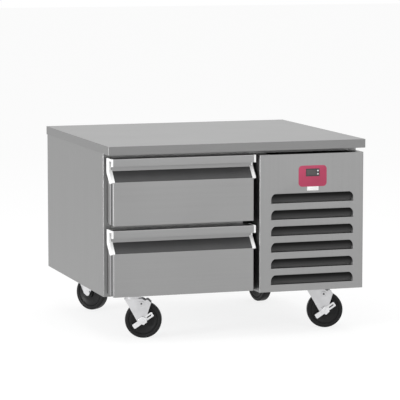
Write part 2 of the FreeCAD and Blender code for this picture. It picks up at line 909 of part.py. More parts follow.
def drawer_core(name, low):
    """The insulating core: the thermal break that shows as a groove, and the rear pan's fill."""
    top = low + drawer_height
    foot, ramp_top, _ = grip_points(top)
    front = drawer_face + skin_return
    groove_rear = front + groove_depth
    behind = ramp_top[0] + skin_gauge + part_clear
    slope = num(ramp_top[1] - foot[1]) / num(ramp_top[0] - foot[0])
    sheet_drop = skin_gauge * math.sqrt(1 + slope * slope) + part_clear
    break_top = foot[1] + slope * (front - foot[0]) - sheet_drop
    profile = [
        (front, low + groove_inset),
        (groove_rear, low + groove_inset),
        (groove_rear, foot[1] + slope * (groove_rear - foot[0]) - sheet_drop),
        (front, break_top),
    ]
    piece = Piece(f"{name}_core")
    piece.pad("YZ", drawer_left + groove_inset, drawer_right - groove_inset, profile)
    gauge = panel_gauge
    fill = rectangle(
        drawer_left + rear_pan_inset + gauge,
        drawer_right - rear_pan_inset - gauge,
        low + rear_pan_inset + gauge,
        top - rear_pan_inset - gauge,
    )
    piece.pad("XZ", larger(groove_rear, behind), drawer_rear - gauge, fill)
    keep(f"{name}_core", piece)


def rear_pan(name, low):
    """The drawer front's rear pan, open towards the core."""
    top = low + drawer_height
    foot, ramp_top, _ = grip_points(top)
    groove_rear = drawer_face + skin_return + groove_depth
    front = larger(groove_rear, ramp_top[0] + skin_gauge + part_clear)
    left, right = drawer_left + rear_pan_inset, drawer_right - rear_pan_inset
    low_side, high_side = low + rear_pan_inset, top - rear_pan_inset
    piece = Piece(f"{name}_rear_pan")
    piece.pad("XZ", front, drawer_rear, rectangle(left, right, low_side, high_side))
    gauge = panel_gauge
    piece.cut(
        "XZ",
        front,
        drawer_rear - gauge,
        rectangle(left + gauge, right - gauge, low_side + gauge, high_side - gauge),
    )
    keep(f"{name}_rear_pan", piece)


def gasket(name, low):
    """The magnetic gasket on the rear pan, closed up against the face frame."""
    top = low + drawer_height
    inset = gasket_inset
    outer = rectangle(
        drawer_left + inset, drawer_right - inset, low + inset, top - inset, gasket_width / 2
    )
    far = inset + gasket_width
    inner = rectangle(drawer_left + far, drawer_right - far, low + far, top - far)
    piece = Piece(f"{name}_gasket")
    piece.pad("XZ", drawer_rear, body_front - part_clear, outer, inner)
    keep(f"{name}_gasket", piece)


frame_inset = fixed_rail_depth + rail_gap + middle_rail_depth + rail_side_gap
frame_left = opening_left + frame_inset
frame_right = opening_right - frame_inset
frame_front = drawer_rear
frame_end = evaporator_front - frame_rear_gap
deck_high = {name: high - deck_drop for name, high in opening_high.items()}
well_left = frame_left + well_side
well_right = frame_right - well_side
well_front = frame_front + well_rim
well_end = frame_end - well_rim
bar_middle = (well_front + well_end) / 2


def pan_frame(name):
    """The frame that pans hang in: two side channels with T rails, and three cross channels."""
    deck = deck_high[name]
    foot, lip = deck - frame_side, deck - well_lip
    half_bar = cross_bar / 2
    members = []
    for wall, base, side, outer, inner in (
        ("left", opening_left, 1, frame_left, well_left),
        ("right", opening_right, -1, frame_right, well_right),
    ):
        member = Piece(f"{name}_side_channel_{wall}")
        path = [(outer, foot), (outer, deck), (inner, deck), (inner, lip)]
        member.pad("XZ", frame_front, frame_end, folded(path, frame_gauge, side < 0))
        member.pad("XZ", frame_front, frame_end, t_rail(base, side, deck - slide_drop))
        members.append(member)
    crossings = (
        ("front", [(frame_front, foot), (frame_front, deck), (well_front, deck), (well_front, lip)]),
        (
            "middle",
            [
                (bar_middle - half_bar, lip),
                (bar_middle - half_bar, deck),
                (bar_middle + half_bar, deck),
                (bar_middle + half_bar, lip),
            ],
        ),
        ("rear", [(well_end, lip), (well_end, deck), (frame_end, deck), (frame_end, foot)]),
    )
    for where, path in crossings:
        member = Piece(f"{name}_cross_channel_{where}")
        member.pad("YZ", well_left, well_right, folded(path, frame_gauge, False))
        members.append(member)
    keep(f"{name}_pan_frame", joined("Part::Compound", f"{name}_pan_frame", members))


def t_rail(base, side, middle):
    """The drawer's own rail in (x, z): a head that runs in the middle rail, and its web."""
    head = rail_places["head"]
    neck = head + inner_rail_gauge
    half_head, half_web = inner_rail_head / 2, inner_rail_web / 2
    outline = [
        (head, -half_head),
        (neck, -half_head),
        (neck, -half_web),
        (frame_inset, -half_web),
        (frame_inset, half_web),
        (neck, half_web),
        (neck, half_head),
        (head, half_head),
    ]
    return [(base + side * u, middle + v) for u, v in outline]


rail_places = {
    "middle": fixed_rail_depth + rail_gap,
    "head": fixed_rail_depth + rail_gap + slide_gauge + inner_rail_gap,
}


def lipped_channel(base, side, start, middle, height, depth, lip):
    """A channel's outline in (x, z), its web at start and its mouth away from the wall."""
    half = height / 2
    path = [
        (start + depth, middle + half - lip - slide_gauge),
        (start + depth, middle + half),
        (start, middle + half),
        (start, middle - half),
        (start + depth, middle - half),
        (start + depth, middle - half + lip + slide_gauge),
    ]
    places = [(base + side * u, v) for u, v in path]
    return folded(places, slide_gauge, side > 0)


rail_front = body_front + slide_front
slide_length = evaporator_front - slide_rear_gap - rail_front
middle_front = rail_front + middle_rail_setback
middle_length = slide_length - middle_rail_short
middle_end = middle_front + middle_length


def cabinet_rails():
    """The fixed rails on the liner's walls."""
    rails = []
    for name in ("lower", "upper"):
        middle = deck_high[name] - slide_drop
        for wall, base, side in (("left", opening_left, 1), ("right", opening_right, -1)):
            rail = Piece(f"fixed_rail_{name}_{wall}")
            outline = lipped_channel(
                base,
                side,
                0,
                middle,
                fixed_rail_height,
                fixed_rail_depth,
                fixed_rail_lip,
            )
            rail.pad("XZ", rail_front, rail_front + slide_length, outline)
            rails.append(rail)
    keep("cabinet_rails", joined("Part::Compound", "cabinet_rails", rails))


def middle_rails(name):
    """The telescoping rails between the fixed rails and the drawer's."""
    middle = deck_high[name] - slide_drop
    rails = []
    for wall, base, side in (("left", opening_left, 1), ("right", opening_right, -1)):
        rail = Piece(f"{name}_middle_rail_{wall}")
        outline = lipped_channel(
            base,
            side,
            rail_places["middle"],
            middle,
            middle_rail_height,
            middle_rail_depth,
            middle_rail_lip,
        )
        rail.pad("XZ", middle_front, middle_end, outline)
        rails.append(rail)
    keep(f"{name}_middle_rails", joined("Part::Compound", f"{name}_middle_rails", rails))


def slide_blocks(name):
    """Acetal blocks on the middle rails: two run in each fixed rail, two guide each T rail."""
    middle = deck_high[name] - slide_drop
    clear = slide_clear
    blocks = []
    outer_half = fixed_rail_height / 2 - slide_gauge - clear
    mouth_half = fixed_rail_height / 2 - slide_gauge - fixed_rail_lip - clear
    outer_end = fixed_rail_depth - slide_gauge - clear
    web = rail_places["middle"]
    inner_start = web + slide_gauge
    inner_end = web + middle_rail_depth - slide_gauge - clear
    inner_half = middle_rail_height / 2 - slide_gauge
    head = rail_places["head"]
    neck = head + inner_rail_gauge
    slot_half = inner_rail_head / 2 + clear
    neck_half = inner_rail_web / 2 + clear
    outer = [
        (slide_gauge + clear, -outer_half),
        (outer_end, -outer_half),
        (outer_end, -mouth_half),
        (web, -mouth_half),
        (web, mouth_half),
        (outer_end, mouth_half),
        (outer_end, outer_half),
        (slide_gauge + clear, outer_half),
    ]
    inner = [
        (inner_start, -inner_half),
        (inner_end, -inner_half),
        (inner_end, -neck_half),
        (neck + clear, -neck_half),
        (neck + clear, -slot_half),
        (head - clear, -slot_half),
        (head - clear, slot_half),
        (neck + clear, slot_half),
        (neck + clear, neck_half),
        (inner_end, neck_half),
        (inner_end, inner_half),
        (inner_start, inner_half),
    ]
    spots = [
        (outer, middle_end - block_length - block_end_gap),
        (outer, middle_end - middle_length / 2 - block_middle_gap),
        (inner, middle_front + block_end_gap),
        (inner, middle_front + middle_length / 2 - block_length - block_inner_gap),
    ]
    for base, side in ((opening_left, 1), (opening_right, -1)):
        for outline, start in spots:
            block = Piece(f"{name}_slide_block_{len(blocks) + 1}")
            places = [(base + side * u, middle + v) for u, v in outline]
            block.pad("XZ", start, start + block_length, places)
            blocks.append(block)
    keep(f"{name}_slide_blocks", joined("Part::Compound", f"{name}_slide_blocks", blocks))


# Machine compartment cover
def slot_outline(low, grow):
    """A louvre's outline in (x, z): a square cut edge below, rounded corners above."""
    left, right = cover_left + louvre_left - grow, cover_right - louvre_right + grow
    high = low + louvre_height + grow
    corner = louvre_corner + grow
    return [(left, low), (right, low), (right, high, corner), (left, high, corner)]


def louvre_form(label, low, grow, front, rear):
    """A louvre's pressed form: a hood that leans in from its top edge and is open below."""
    prism_form = Piece(f"{label}_prism")
    prism_form.pad("XZ", front, rear, slot_outline(low, grow))
    lean = num(louvre_depth) / num(louvre_height)
    high = low + louvre_height + grow
    wedge = Piece(f"{label}_wedge")
    profile = [(front, low), (rear, low), (rear - lean * (high - low), high), (front, high)]
    wedge.pad("YZ", cover_left, cover_right, profile)
    return joined("Part::MultiCommon", label, [prism_form, wedge])


def louvre_count():
    """As many louvres as fit between the cover's foot and the control plate."""
    first = body_low + louvre_low + louvre_height
    room = plate_top - plate_height - louvre_top_gap - first
    return 1 + int(num(room) // num(louvre_pitch))


def machine_cover():
    """The folded cover, with louvres pressed inwards and the controller's cut-out."""
    shell = Piece("cover_shell")
    path = [
        (cover_left, body_front),
        (cover_left, cover_front, cover_bend),
        (cover_right, cover_front, cover_bend),
        (cover_right, body_front),
    ]
    shell.pad("XY", body_low, cover_high, folded(path, cover_gauge))
    shell.pad("XY", body_low, body_low + cover_gauge, path)
    shell.pad("XY", cover_high - cover_gauge, cover_high, path)
    shell.cut(
        "XZ",
        cover_front,
        cover_front + cover_gauge,
        rectangle(*controller_hole(part_clear)),
    )
    pressed, hollows = [], []
    hood = cover_gauge * math.hypot(1, num(louvre_depth) / num(louvre_height))
    for k in range(louvre_count()):
        low = body_low + louvre_low + k * louvre_pitch
        rear = cover_front + louvre_depth
        pressed.append(louvre_form(f"louvre_out_{k + 1}", low, cover_gauge, cover_front, rear + hood))
        hollows.append(louvre_form(f"louvre_in_{k + 1}", low, 0, cover_front - 1, rear))
    solid = joined("Part::MultiFuse", "cover_pressed", [shell] + pressed)
    hollow = joined("Part::MultiFuse", "cover_hollows", hollows)
    keep("machine_cover", without("machine_cover", solid, hollow))


plate_x = cover_left + plate_left
plate_top = cover_high - plate_drop
bezel_x = plate_x + bezel_left
bezel_top = plate_top - bezel_drop


def controller_hole(clear):
    margin = controller_margin
    return (
        bezel_x + margin - clear,
        bezel_x + bezel_width - margin + clear,
        bezel_top - bezel_height + margin - clear,
        bezel_top - margin + clear,
    )


def button_places():
    x = bezel_x + bezel_width - button_inset
    middle = bezel_top - bezel_height / 2
    return {
        "button_upper": (x, middle + button_spacing / 2),
        "button_lower": (x, middle - button_spacing / 2),
    }


def key_outline(x, z, clear):
    half = button_side / 2 + clear
    return rectangle(x - half, x + half, z - half, z + half)


def control_plate():
    piece = Piece("control_plate")
    outline = rectangle(
        plate_x, plate_x + plate_width, plate_top - plate_height, plate_top, plate_corner
    )
    hole = rectangle(*controller_hole(part_clear))
    piece.pad("XZ", cover_front - plate_gauge, cover_front, outline, hole)
    keep("control_plate", piece)


def temperature_controller():
    """Bezel and window in front of the plate, body behind the cover, with a hole for each button."""
    piece = Piece("temperature_controller")
    seat = cover_front - plate_gauge
    bezel = rectangle(bezel_x, bezel_x + bezel_width, bezel_top - bezel_height, bezel_top)
    piece.pad("XZ", seat - bezel_proud, seat, bezel)
    piece.pad("XZ", seat, seat + controller_depth, rectangle(*controller_hole(0)))
    holes = [key_outline(x, z, button_clear) for x, z in button_places().values()]
    face = seat - bezel_proud
    piece.cut("XZ", face, face + button_stem + button_travel + part_clear, *holes)
    keep("temperature_controller", piece)


def buttons():
    face = cover_front - plate_gauge - bezel_proud
    for node, (x, z) in button_places().items():
        piece = Piece(node)
        piece.pad("XZ", face - button_proud, face + button_stem, key_outline(x, z, 0))
        keep(node, piece)


# Refrigeration
machine_middle = (partition_right + body_right) / 2
coil_left = partition_right + coil_side_gap
coil_right = body_right - coil_side_gap
coil_low = floor_top + coil_lift
coil_high = body_high - coil_top_gap
coil_front = frame_back + coil_front_gap
shroud_front = coil_front + coil_depth
shroud_rear = shroud_front + shroud_depth
fan_z = (coil_low + coil_high) / 2
fan_ring = smaller(coil_right - coil_left, coil_high - coil_low) / 2 - fan_margin


def condenser_coil():
    """The condenser: a finned block between two end plates that stand on the floor."""
    piece = Piece("condenser_coil")
    gauge = coil_end_gauge
    block = rectangle(coil_left + gauge, coil_right - gauge, coil_low, coil_high)
    piece.pad("XZ", coil_front, shroud_front, block)
    for start in (coil_left, coil_right - gauge):
        plate = rectangle(start, start + gauge, floor_top, coil_high + coil_plate_reach)
        piece.pad("XZ", coil_front - part_clear, shroud_front, plate)
    keep("condenser_coil", piece)


def fan_shroud():
    """The shroud behind the coil, with the fan's ring and the motor's three arms."""
    piece = Piece("fan_shroud")
    gauge = evaporator_gauge
    outside = rectangle(coil_left, coil_right, coil_low, coil_high)
    piece.pad("XZ", shroud_front, shroud_rear, outside)
    inside = rectangle(coil_left + gauge, coil_right - gauge, coil_low + gauge, coil_high - gauge)
    piece.cut("XZ", shroud_front, shroud_rear - gauge, inside)
    piece.cut("XZ", shroud_rear - gauge, shroud_rear, circle(machine_middle, fan_z, fan_ring))
    arms = []
    for k in range(3):
        arm = Piece(f"shroud_arm_{k + 1}")
        half = motor_arm_width / 2
        span = rectangle(motor_radius - half, fan_ring + half, -half, half)
        arm.pad("XZ", 0, motor_arm_gauge, span)
        turns = FreeCAD.Rotation(FreeCAD.Vector(0, 1, 0), 90 + 120 * k)
        arm.place(machine_middle, shroud_rear, fan_z, turns)
        arms.append(arm)
    keep("fan_shroud", joined("Part::MultiFuse", "fan_shroud", [piece] + arms))


def blade_wheel(label, radius, hub, width):
    """An axial fan about Y: a hub with a bore for the motor's shaft, and five pitched blades."""
    boss = Piece(f"{label}_hub")
    boss.pad("XZ", 0, width, circle(0, 0, hub))
    boss.cut("XZ", 0, width, circle(0, 0, shaft_radius + shaft_clear))
    parts = [boss]
    root, tip = hub * blade_root_share, width * blade_tip_share
    for k in range(5):
        blade = Piece(f"{label}_blade_{k + 1}")
        outline = [
            (-root, hub * blade_foot_share),
            (root, hub * blade_foot_share),
            (tip, radius - fan_blade_gauge),
            (-tip, radius * blade_heel_share),
        ]
        blade.pad("XZ", -fan_blade_gauge / 2, fan_blade_gauge / 2, outline)
        pitch = FreeCAD.Rotation(FreeCAD.Vector(0, 0, 1), fan_pitch_degrees)
        swing = FreeCAD.Rotation(FreeCAD.Vector(0, 1, 0), 72 * k)
        blade.place(0, width / 2, 0, swing.multiply(pitch))
        parts.append(blade)
    return joined("Part::MultiFuse", label, parts)


def condenser_fan():
    """The condenser fan in the shroud's ring, and the motor whose shaft carries it."""
    fan = blade_wheel("condenser_fan", fan_ring - fan_clear, fan_hub_radius, fan_width)
    fan_front = shroud_rear - fan_width - part_clear
    put(fan, machine_middle, fan_front, fan_z)
    keep("condenser_fan", fan)
    motor = Piece("condenser_motor")
    motor_face = shroud_rear + motor_arm_gauge
    can = circle(machine_middle, fan_z, motor_radius)
    motor.pad("XZ", motor_face, motor_face + motor_length, can)
    motor.pad("XZ", fan_front, motor_face, circle(machine_middle, fan_z, shaft_radius))
    keep("condenser_motor", motor)


pan_front = body_back - 2 * panel_gauge - pan_inset - pan_depth
compressor_x = machine_middle
compressor_y = pan_front - compressor_pan_gap - compressor_radius
compressor_low = floor_top + compressor_lift


def compressor():
    """A welded hermetic compressor on a folded base plate, with its terminal box."""
    shell = Piece("compressor_shell")
    radius, high = compressor_radius, compressor_height
    shell.turn(
        [
            (0, 0),
            (radius, 0),
            (radius, high - compressor_dome),
            (radius - compressor_dome, high),
            (0, high),
        ]
    )
    shell.place(compressor_x, compressor_y, compressor_low)
    base = Piece("compressor_base")
    half = radius + compressor_base_margin
    seat = compressor_low + compressor_seat
    legs = [
        (compressor_x - half, floor_top),
        (compressor_x - half, seat),
        (compressor_x + half, seat),
        (compressor_x + half, floor_top),
    ]
    base.pad(
        "XZ",
        compressor_y - compressor_base_depth / 2,
        compressor_y + compressor_base_depth / 2,
        folded(legs, compressor_base_gauge, False),
    )
    box = Piece("compressor_box")
    box_front = compressor_y - radius - terminal_reach
    box_left = compressor_x - terminal_width / 2
    box_low = compressor_low + terminal_low
    box.pad(
        "XY",
        box_low,
        box_low + terminal_height,
        rectangle(box_left, box_left + terminal_width, box_front, compressor_y - radius / 2),
    )
    keep("compressor", joined("Part::MultiFuse", "compressor", [shell, base, box]))


evaporator_left = opening_left + evaporator_side_gap
evaporator_right = opening_right - evaporator_side_gap
evaporator_low = opening_low["lower"] + evaporator_end_gap
evaporator_high = opening_high["upper"] - evaporator_end_gap
evaporator_x = (evaporator_left + evaporator_right) / 2
evaporator_z = (evaporator_low + evaporator_high) / 2
evaporator_ring = (
    smaller(evaporator_right - evaporator_left, evaporator_high - evaporator_low) / 2
    - evaporator_fan_margin
)


def evaporator_housing():
    """The fan coil's housing on the liner's rear wall, open below and through the fan ring."""
    piece = Piece("evaporator_housing")
    left, right, gauge = evaporator_left, evaporator_right, evaporator_gauge
    outside = rectangle(left, right, evaporator_low, evaporator_high)
    piece.pad("XZ", evaporator_front, liner_back, outside)
    inside = rectangle(left + gauge, right - gauge, evaporator_low, evaporator_high - gauge)
    piece.cut("XZ", evaporator_front + gauge, liner_back, inside)
    ring = circle(evaporator_x, evaporator_z, evaporator_ring)
    piece.cut("XZ", evaporator_front, evaporator_front + gauge, ring)
    piece.cut("YZ", right - gauge, right, line_opening())
    keep("evaporator_housing", piece)


def evaporator_coil():
    piece = Piece("evaporator_coil")
    left, right = evaporator_left + coil_end_inset, evaporator_right - coil_end_inset
    low, high = evaporator_low + coil_plate_reach, evaporator_high - evaporator_gauge
    front = liner_back - evaporator_coil_depth
    block = rectangle(left, right, low + coil_plate_reach, high - coil_plate_reach)
    piece.pad("XZ", front, liner_back - part_clear, block)
    for start in (left - coil_end_gauge, right):
        plate = rectangle(start, start + coil_end_gauge, low, high)
        piece.pad("XZ", front - coil_end_gauge, liner_back, plate)
    keep("evaporator_coil", piece)


def evaporator_fan():
    """The evaporator fan in its ring, and its motor on a bar across the housing."""
    start = evaporator_front - evaporator_fan_proud
    width = evaporator_fan_width
    fan = blade_wheel(
        "evaporator_fan", evaporator_ring - fan_clear, evaporator_hub_radius, width
    )
    put(fan, evaporator_x, start, evaporator_z)
    keep("evaporator_fan", fan)
    motor = Piece("evaporator_motor")
    face = start + width + part_clear
    can = circle(evaporator_x, evaporator_z, evaporator_motor_radius)
    motor.pad("XZ", face, face + motor_bar_width, can)
    bar = rectangle(
        evaporator_left + evaporator_gauge,
        evaporator_right - evaporator_gauge,
        evaporator_z - motor_bar_width / 2,
        evaporator_z + motor_bar_width / 2,
    )
    bar_front = face + motor_bar_gauge
    motor.pad("XZ", bar_front, bar_front + motor_bar_gauge, bar)
    motor.pad("XZ", start, face, circle(evaporator_x, evaporator_z, shaft_radius))
    keep("evaporator_motor", motor)


def condensate_pan():
    """The pan that catches and evaporates the drain water, behind the compressor."""
    piece = Piece("condensate_pan")
    left = partition_right + pan_inset
    right, rear = left + pan_width, pan_front + pan_depth
    gauge = evaporator_gauge
    outside = rectangle(left, right, pan_front, rear)
    piece.pad("XY", floor_top, floor_top + pan_height, outside)
    inside = rectangle(left + gauge, right - gauge, pan_front + gauge, rear - gauge)
    piece.cut("XY", floor_top + gauge, floor_top + pan_height, inside)
    keep("condensate_pan", piece)


def tube(label, radius, corners):
    """A tube that runs straight between corners, with a brazed elbow at each."""
    points = [FreeCAD.Vector(*(num(c) for c in corner)) for corner in corners]
    path = Part.makePolygon(points)
    ring = Part.Wire(
        Part.makeCircle(num(radius), points[0], (points[1] - points[0]).normalize())
    )
    made = doc.addObject("Part::Feature", label)
    made.Shape = path.makePipeShell([ring], True, False, 1)
    return made


def refrigerant_lines():
    """Discharge to the condenser, liquid to the evaporator, and suction back."""
    top = compressor_low + compressor_height
    side = coil_right + line_run
    low, high = coil_low + line_end_gap, coil_high - line_end_gap
    entry = evaporator_right - coil_end_inset + coil_end_gauge
    discharge = [
        (compressor_x + port_reach, compressor_y, top),
        (compressor_x + port_reach, compressor_y, high),
        (side, compressor_y, high),
        (side, coil_front + coil_depth / 2, high),
        (coil_right, coil_front + coil_depth / 2, high),
    ]
    liquid = [
        (coil_right, coil_front + coil_depth / 2, low),
        (side, coil_front + coil_depth / 2, low),
        (side, line_y - line_apart, low),
        (side, line_y - line_apart, line_z - line_apart / 2),
        (entry, line_y - line_apart, line_z - line_apart / 2),
    ]
    suction = [
        (entry, line_y + line_apart, line_z + line_apart / 2),
        (compressor_x - port_reach, line_y + line_apart, line_z + line_apart / 2),
        (compressor_x - port_reach, compressor_y, line_z + line_apart / 2),
        (compressor_x - port_reach, compressor_y, top),
    ]
    lines = [
        tube("discharge_line", tube_radius, discharge),
        tube("liquid_line", liquid_tube_radius, liquid),
        tube("suction_line", tube_radius, suction),
    ]
    keep("refrigerant_lines", joined("Part::Compound", "refrigerant_lines", lines))


def cord_gland():
    """The cable gland in the rear panel: hexagon flange, threaded body and the cord's bore."""
    piece = Piece("cord_gland")
    outside = body_back + gland_flange
    inside = outside - gland_length
    flange = hexagon(2 * gland_radius, gland_x, gland_z)
    piece.pad("XZ", body_back, outside, flange)
    piece.pad("XZ", inside, body_back, circle(gland_x, gland_z, gland_radius - gland_flange))
    piece.cut("XZ", inside, outside, circle(gland_x, gland_z, gland_bore))
    keep("cord_gland", piece)


# Casters
caster_spots = {
    "front_left": (left_edge + caster_left, front_edge + caster_front, -20, True),
    "front_right": (right_edge - caster_right, front_edge + caster_front, -15, True),
    "rear_left": (left_edge + caster_left, rear_edge - caster_back, -53, False),
    "rear_right": (right_edge - caster_right, rear_edge - caster_back, -78, False),
}


def bolt_places():
    places = []
    for x, y, _, _ in caster_spots.values():
        for sx in (-1, 1):
            for sy in (-1, 1):
                places.append(
                    (x + sx * bolt_spacing_long / 2, y + sy * bolt_spacing_short / 2)
                )
    return places


plate_low = caster_height - top_plate_gauge
crown_low = 2 * wheel_radius + wheel_gap
crown_high = crown_low + crown_gauge


def caster_plates():
    """The casters' bolted top plates, each with its king pin."""
    plates = []
    for spot, (x, y, _, _) in caster_spots.items():
        plate = Piece(f"caster_plate_{spot}")
        half_x, half_y = top_plate_long / 2, top_plate_short / 2
        plate.pad(
            "XY",
            plate_low,
            caster_height,
            rectangle(x - half_x, x + half_x, y - half_y, y + half_y),
        )
        pin_low = crown_low - part_clear
        plate.pad("XY", pin_low, plate_low, circle(x, y, king_pin_radius))
        plate.pad("XY", pin_low - king_pin_rim, pin_low, hexagon(king_pin_across, x, y))
        plates.append(plate)
    keep("caster_plates", joined("Part::Compound", "caster_plates", plates))


def caster_bolts():
    """The hexagon bolt heads and nuts that clamp the casters' plates to the floor panel."""
    bolts = []
    for k, (x, y) in enumerate(bolt_places()):
        head_low = plate_low - bolt_head_height
        bolts.append(prism(f"bolt_head_{k}", 6, nut_across, bolt_head_height, x, y, head_low))
        bolts.append(prism(f"bolt_nut_{k}", 6, nut_across, nut_height, x, y, floor_top))
    keep("caster_bolts", joined("Part::Compound", "caster_bolts", bolts))


def caster_fork(spot, x, y, swivel):
    """A pressed fork: crown with its race, and two legs whose front facets turn inwards."""
    half = fork_inside / 2
    axle = caster_trail
    front = -race_radius
    facet = axle - fork_facet
    crown_end = axle - fork_gauge
    side_view = [
        (front, crown_high),
        (axle - fork_facet + fork_gauge / 2, wheel_radius - fork_gauge),
        (axle - fork_gauge, wheel_radius - fork_boss, fork_waist),
        (axle + fork_waist, wheel_radius + fork_gauge),
        (axle + fork_heel, wheel_radius + fork_heel_height, fork_gauge),
        (axle + fork_heel / 2, crown_high - crown_gauge / 4, 2 * fork_gauge),
        (axle + fork_heel / 4, crown_high - fork_gauge * 2),
        (crown_end, crown_high),
    ]
    legs = []
    for hand in (-1, 1):
        strip = Piece(f"fork_strip_{spot}_{hand}")
        path = [
            (front - 1, hand * (half - fork_taper)),
            (facet, hand * half),
            (axle + 2 * fork_heel, hand * half),
        ]
        strip.pad("XY", wheel_radius / 2, crown_high, folded(path, fork_gauge, hand > 0))
        view = Piece(f"fork_view_{spot}_{hand}")
        hole = circle(axle, wheel_radius, axle_radius + pin_clear)
        view.pad("XZ", -(half + 10), half + 10, side_view, hole)
        legs.append(joined("Part::MultiCommon", f"fork_leg_{spot}_{hand}", [strip, view]))
    crown = Piece(f"fork_crown_{spot}")
    wide = half + fork_gauge / 2
    edge = [
        (front, wide - fork_taper),
        (front, fork_taper - wide),
        (facet, -wide),
        (crown_end, -wide),
        (crown_end, wide),
        (facet, wide),
    ]
    crown.pad("XY", crown_low, crown_high, edge)
    crown.pad("XY", crown_high - 1, crown_high + race_height, circle(0, 0, race_radius))
    bore = circle(0, 0, king_pin_radius + pin_clear)
    crown.cut("XY", crown_low, crown_high + race_height, bore)
    fork = joined("Part::MultiFuse", f"caster_fork_{spot}", [crown] + legs)
    put(fork, x, y, 0, FreeCAD.Rotation(FreeCAD.Vector(0, 0, 1), swivel))
    keep(f"caster_fork_{spot}", fork)


def at_axle(x, y, swivel, reach=0.0):
    """The place on the axle's line, a distance out towards the brake side."""
    angle = math.radians(swivel)
    return (
        x + caster_trail * math.cos(angle) + reach * math.sin(angle),
        y + caster_trail * math.sin(angle) - reach * math.cos(angle),
        wheel_radius,
    )


def across(swivel):
    """Turns Z into the direction of the axle, away from the brake side."""
    swing = FreeCAD.Rotation(FreeCAD.Vector(0, 0, 1), swivel)
    return swing.multiply(along_y)


def caster_wheel(spot, x, y, swivel):
    """A moulded wheel: bevelled tread, dished face and a hub with the axle's bore."""
    half = wheel_width / 2
    hub_half = fork_inside / 2 - part_clear
    side = [
        (axle_radius + pin_clear, hub_half),
        (hub_radius, hub_half),
        (hub_radius, half - wheel_dish),
        (wheel_radius - wheel_edge, half),
        (wheel_radius, half - wheel_edge),
    ]
    outline = [(radius, -height) for radius, height in side] + side[::-1]
    wheel = Piece(f"caster_wheel_{spot}")
    wheel.turn(outline)
    wheel.place(*at_axle(x, y, swivel), across(swivel))
    keep(f"caster_wheel_{spot}", wheel)


def caster_axle(spot, x, y, swivel, braked):
    """The axle bolt through fork and wheel, with its head and nut outside the fork."""
    outside = fork_inside / 2 + fork_gauge
    near = outside + (lever_gauge + 2 * part_clear if braked else 0)
    far = outside
    axle = Piece(f"caster_axle_{spot}")
    axle.pad("XY", -near, far, circle(0, 0, axle_radius))
    axle.pad("XY", far, far + axle_head_height, hexagon(axle_head_across))
    knob = brake_nut_across if braked else axle_head_across
    axle.pad("XY", -near - axle_head_height, -near, hexagon(knob))
    axle.place(*at_axle(x, y, swivel), across(swivel))
    keep(f"caster_axle_{spot}", axle)


def brake_lever(node, x, y, swivel):
    """The brake lever that turns on the axle bolt, with a slot near its raised end."""
    half, wide, eye = lever_length / 2, lever_width / 2, lever_eye
    outline = [
        (-half, -wide),
        (-eye, -wide),
        (-eye / 2, -eye),
        (eye / 2, -eye),
        (eye, -wide),
        (half, -wide, lever_gauge),
        (half, wide, lever_gauge),
        (-half, wide),
    ]
    slot_end = half - lever_slot_inset
    slot_half = lever_slot_width / 2
    slot = rectangle(slot_end - lever_slot_length, slot_end, -slot_half, slot_half)
    bore = circle(0, 0, axle_radius + pin_clear)
    lever = Piece(node)
    lever.pad("XY", 0, lever_gauge, outline, bore, slot)
    swing = FreeCAD.Rotation(FreeCAD.Vector(0, 0, 1), -lever_tilt_degrees)
    reach = fork_inside / 2 + fork_gauge + part_clear + lever_gauge
    lever.place(*at_axle(x, y, swivel, reach), across(swivel).multiply(swing))
    keep(node, lever)


# The whole object
worktop()
side_panel("left_side_panel", body_left, 1)
side_panel("right_side_panel", body_right, -1)
back_panel()
bottom_panel()
front_frame()
cabinet_foam()
inner_liner()
cabinet_rails()
for drawer in ("lower", "upper"):
    foot_level = drawer_low[drawer]
    outer_skin(drawer, foot_level)
    grip_strip(drawer, foot_level)
    end_caps(drawer, foot_level)
    drawer_core(drawer, foot_level)
    rear_pan(drawer, foot_level)
    gasket(drawer, foot_level)
    pan_frame(drawer)
    middle_rails(drawer)
    slide_blocks(drawer)
machine_cover()
control_plate()
temperature_controller()
buttons()
condenser_coil()
fan_shroud()
condenser_fan()
compressor()
evaporator_housing()
evaporator_coil()
evaporator_fan()
refrigerant_lines()
condensate_pan()
cord_gland()
caster_plates()
caster_bolts()
for spot, (king_x, king_y, swivel, braked) in caster_spots.items():
    caster_fork(spot, king_x, king_y, swivel)
    caster_wheel(spot, king_x, king_y, swivel)
    caster_axle(spot, king_x, king_y, swivel, braked)
    if braked:
        brake_lever(f"brake_lever_{spot}", king_x, king_y, swivel)

doc.recompute()

for thing in doc.Objects:
    if {"Invalid", "Error"} & set(thing.State):
        raise ValueError(f"{thing.Label} failed: {thing.State}")
for node, thing in nodes.items():
    if thing.Shape.isNull() or not thing.Shape.isValid() or not thing.Shape.Solids:
        raise ValueError(f"{node} has no valid solid")

os.makedirs("parts", exist_ok=True)
for node, thing in nodes.items():
    thing.Shape.exportStep(f"parts/{node}.step")
print(len(nodes), "nodes,", sum(len(n.Shape.Solids) for n in nodes.values()), "solids")
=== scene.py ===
# %% [markdown]
# # A refrigerated drawer base, finished in Blender
#
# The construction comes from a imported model: every sheet, rail, wheel and lever is already there at
# its real size, and each one moves with a named body. What is left is the finish. This file goes
# through the object the way a finishing shop would: light the booth, mix the finishes, break the
# sharp edges, and then add the small moulded and pressed detail that a plain solid lacks.

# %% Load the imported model
import json
import math

import bmesh
import bpy
from mathutils import Matrix, Vector


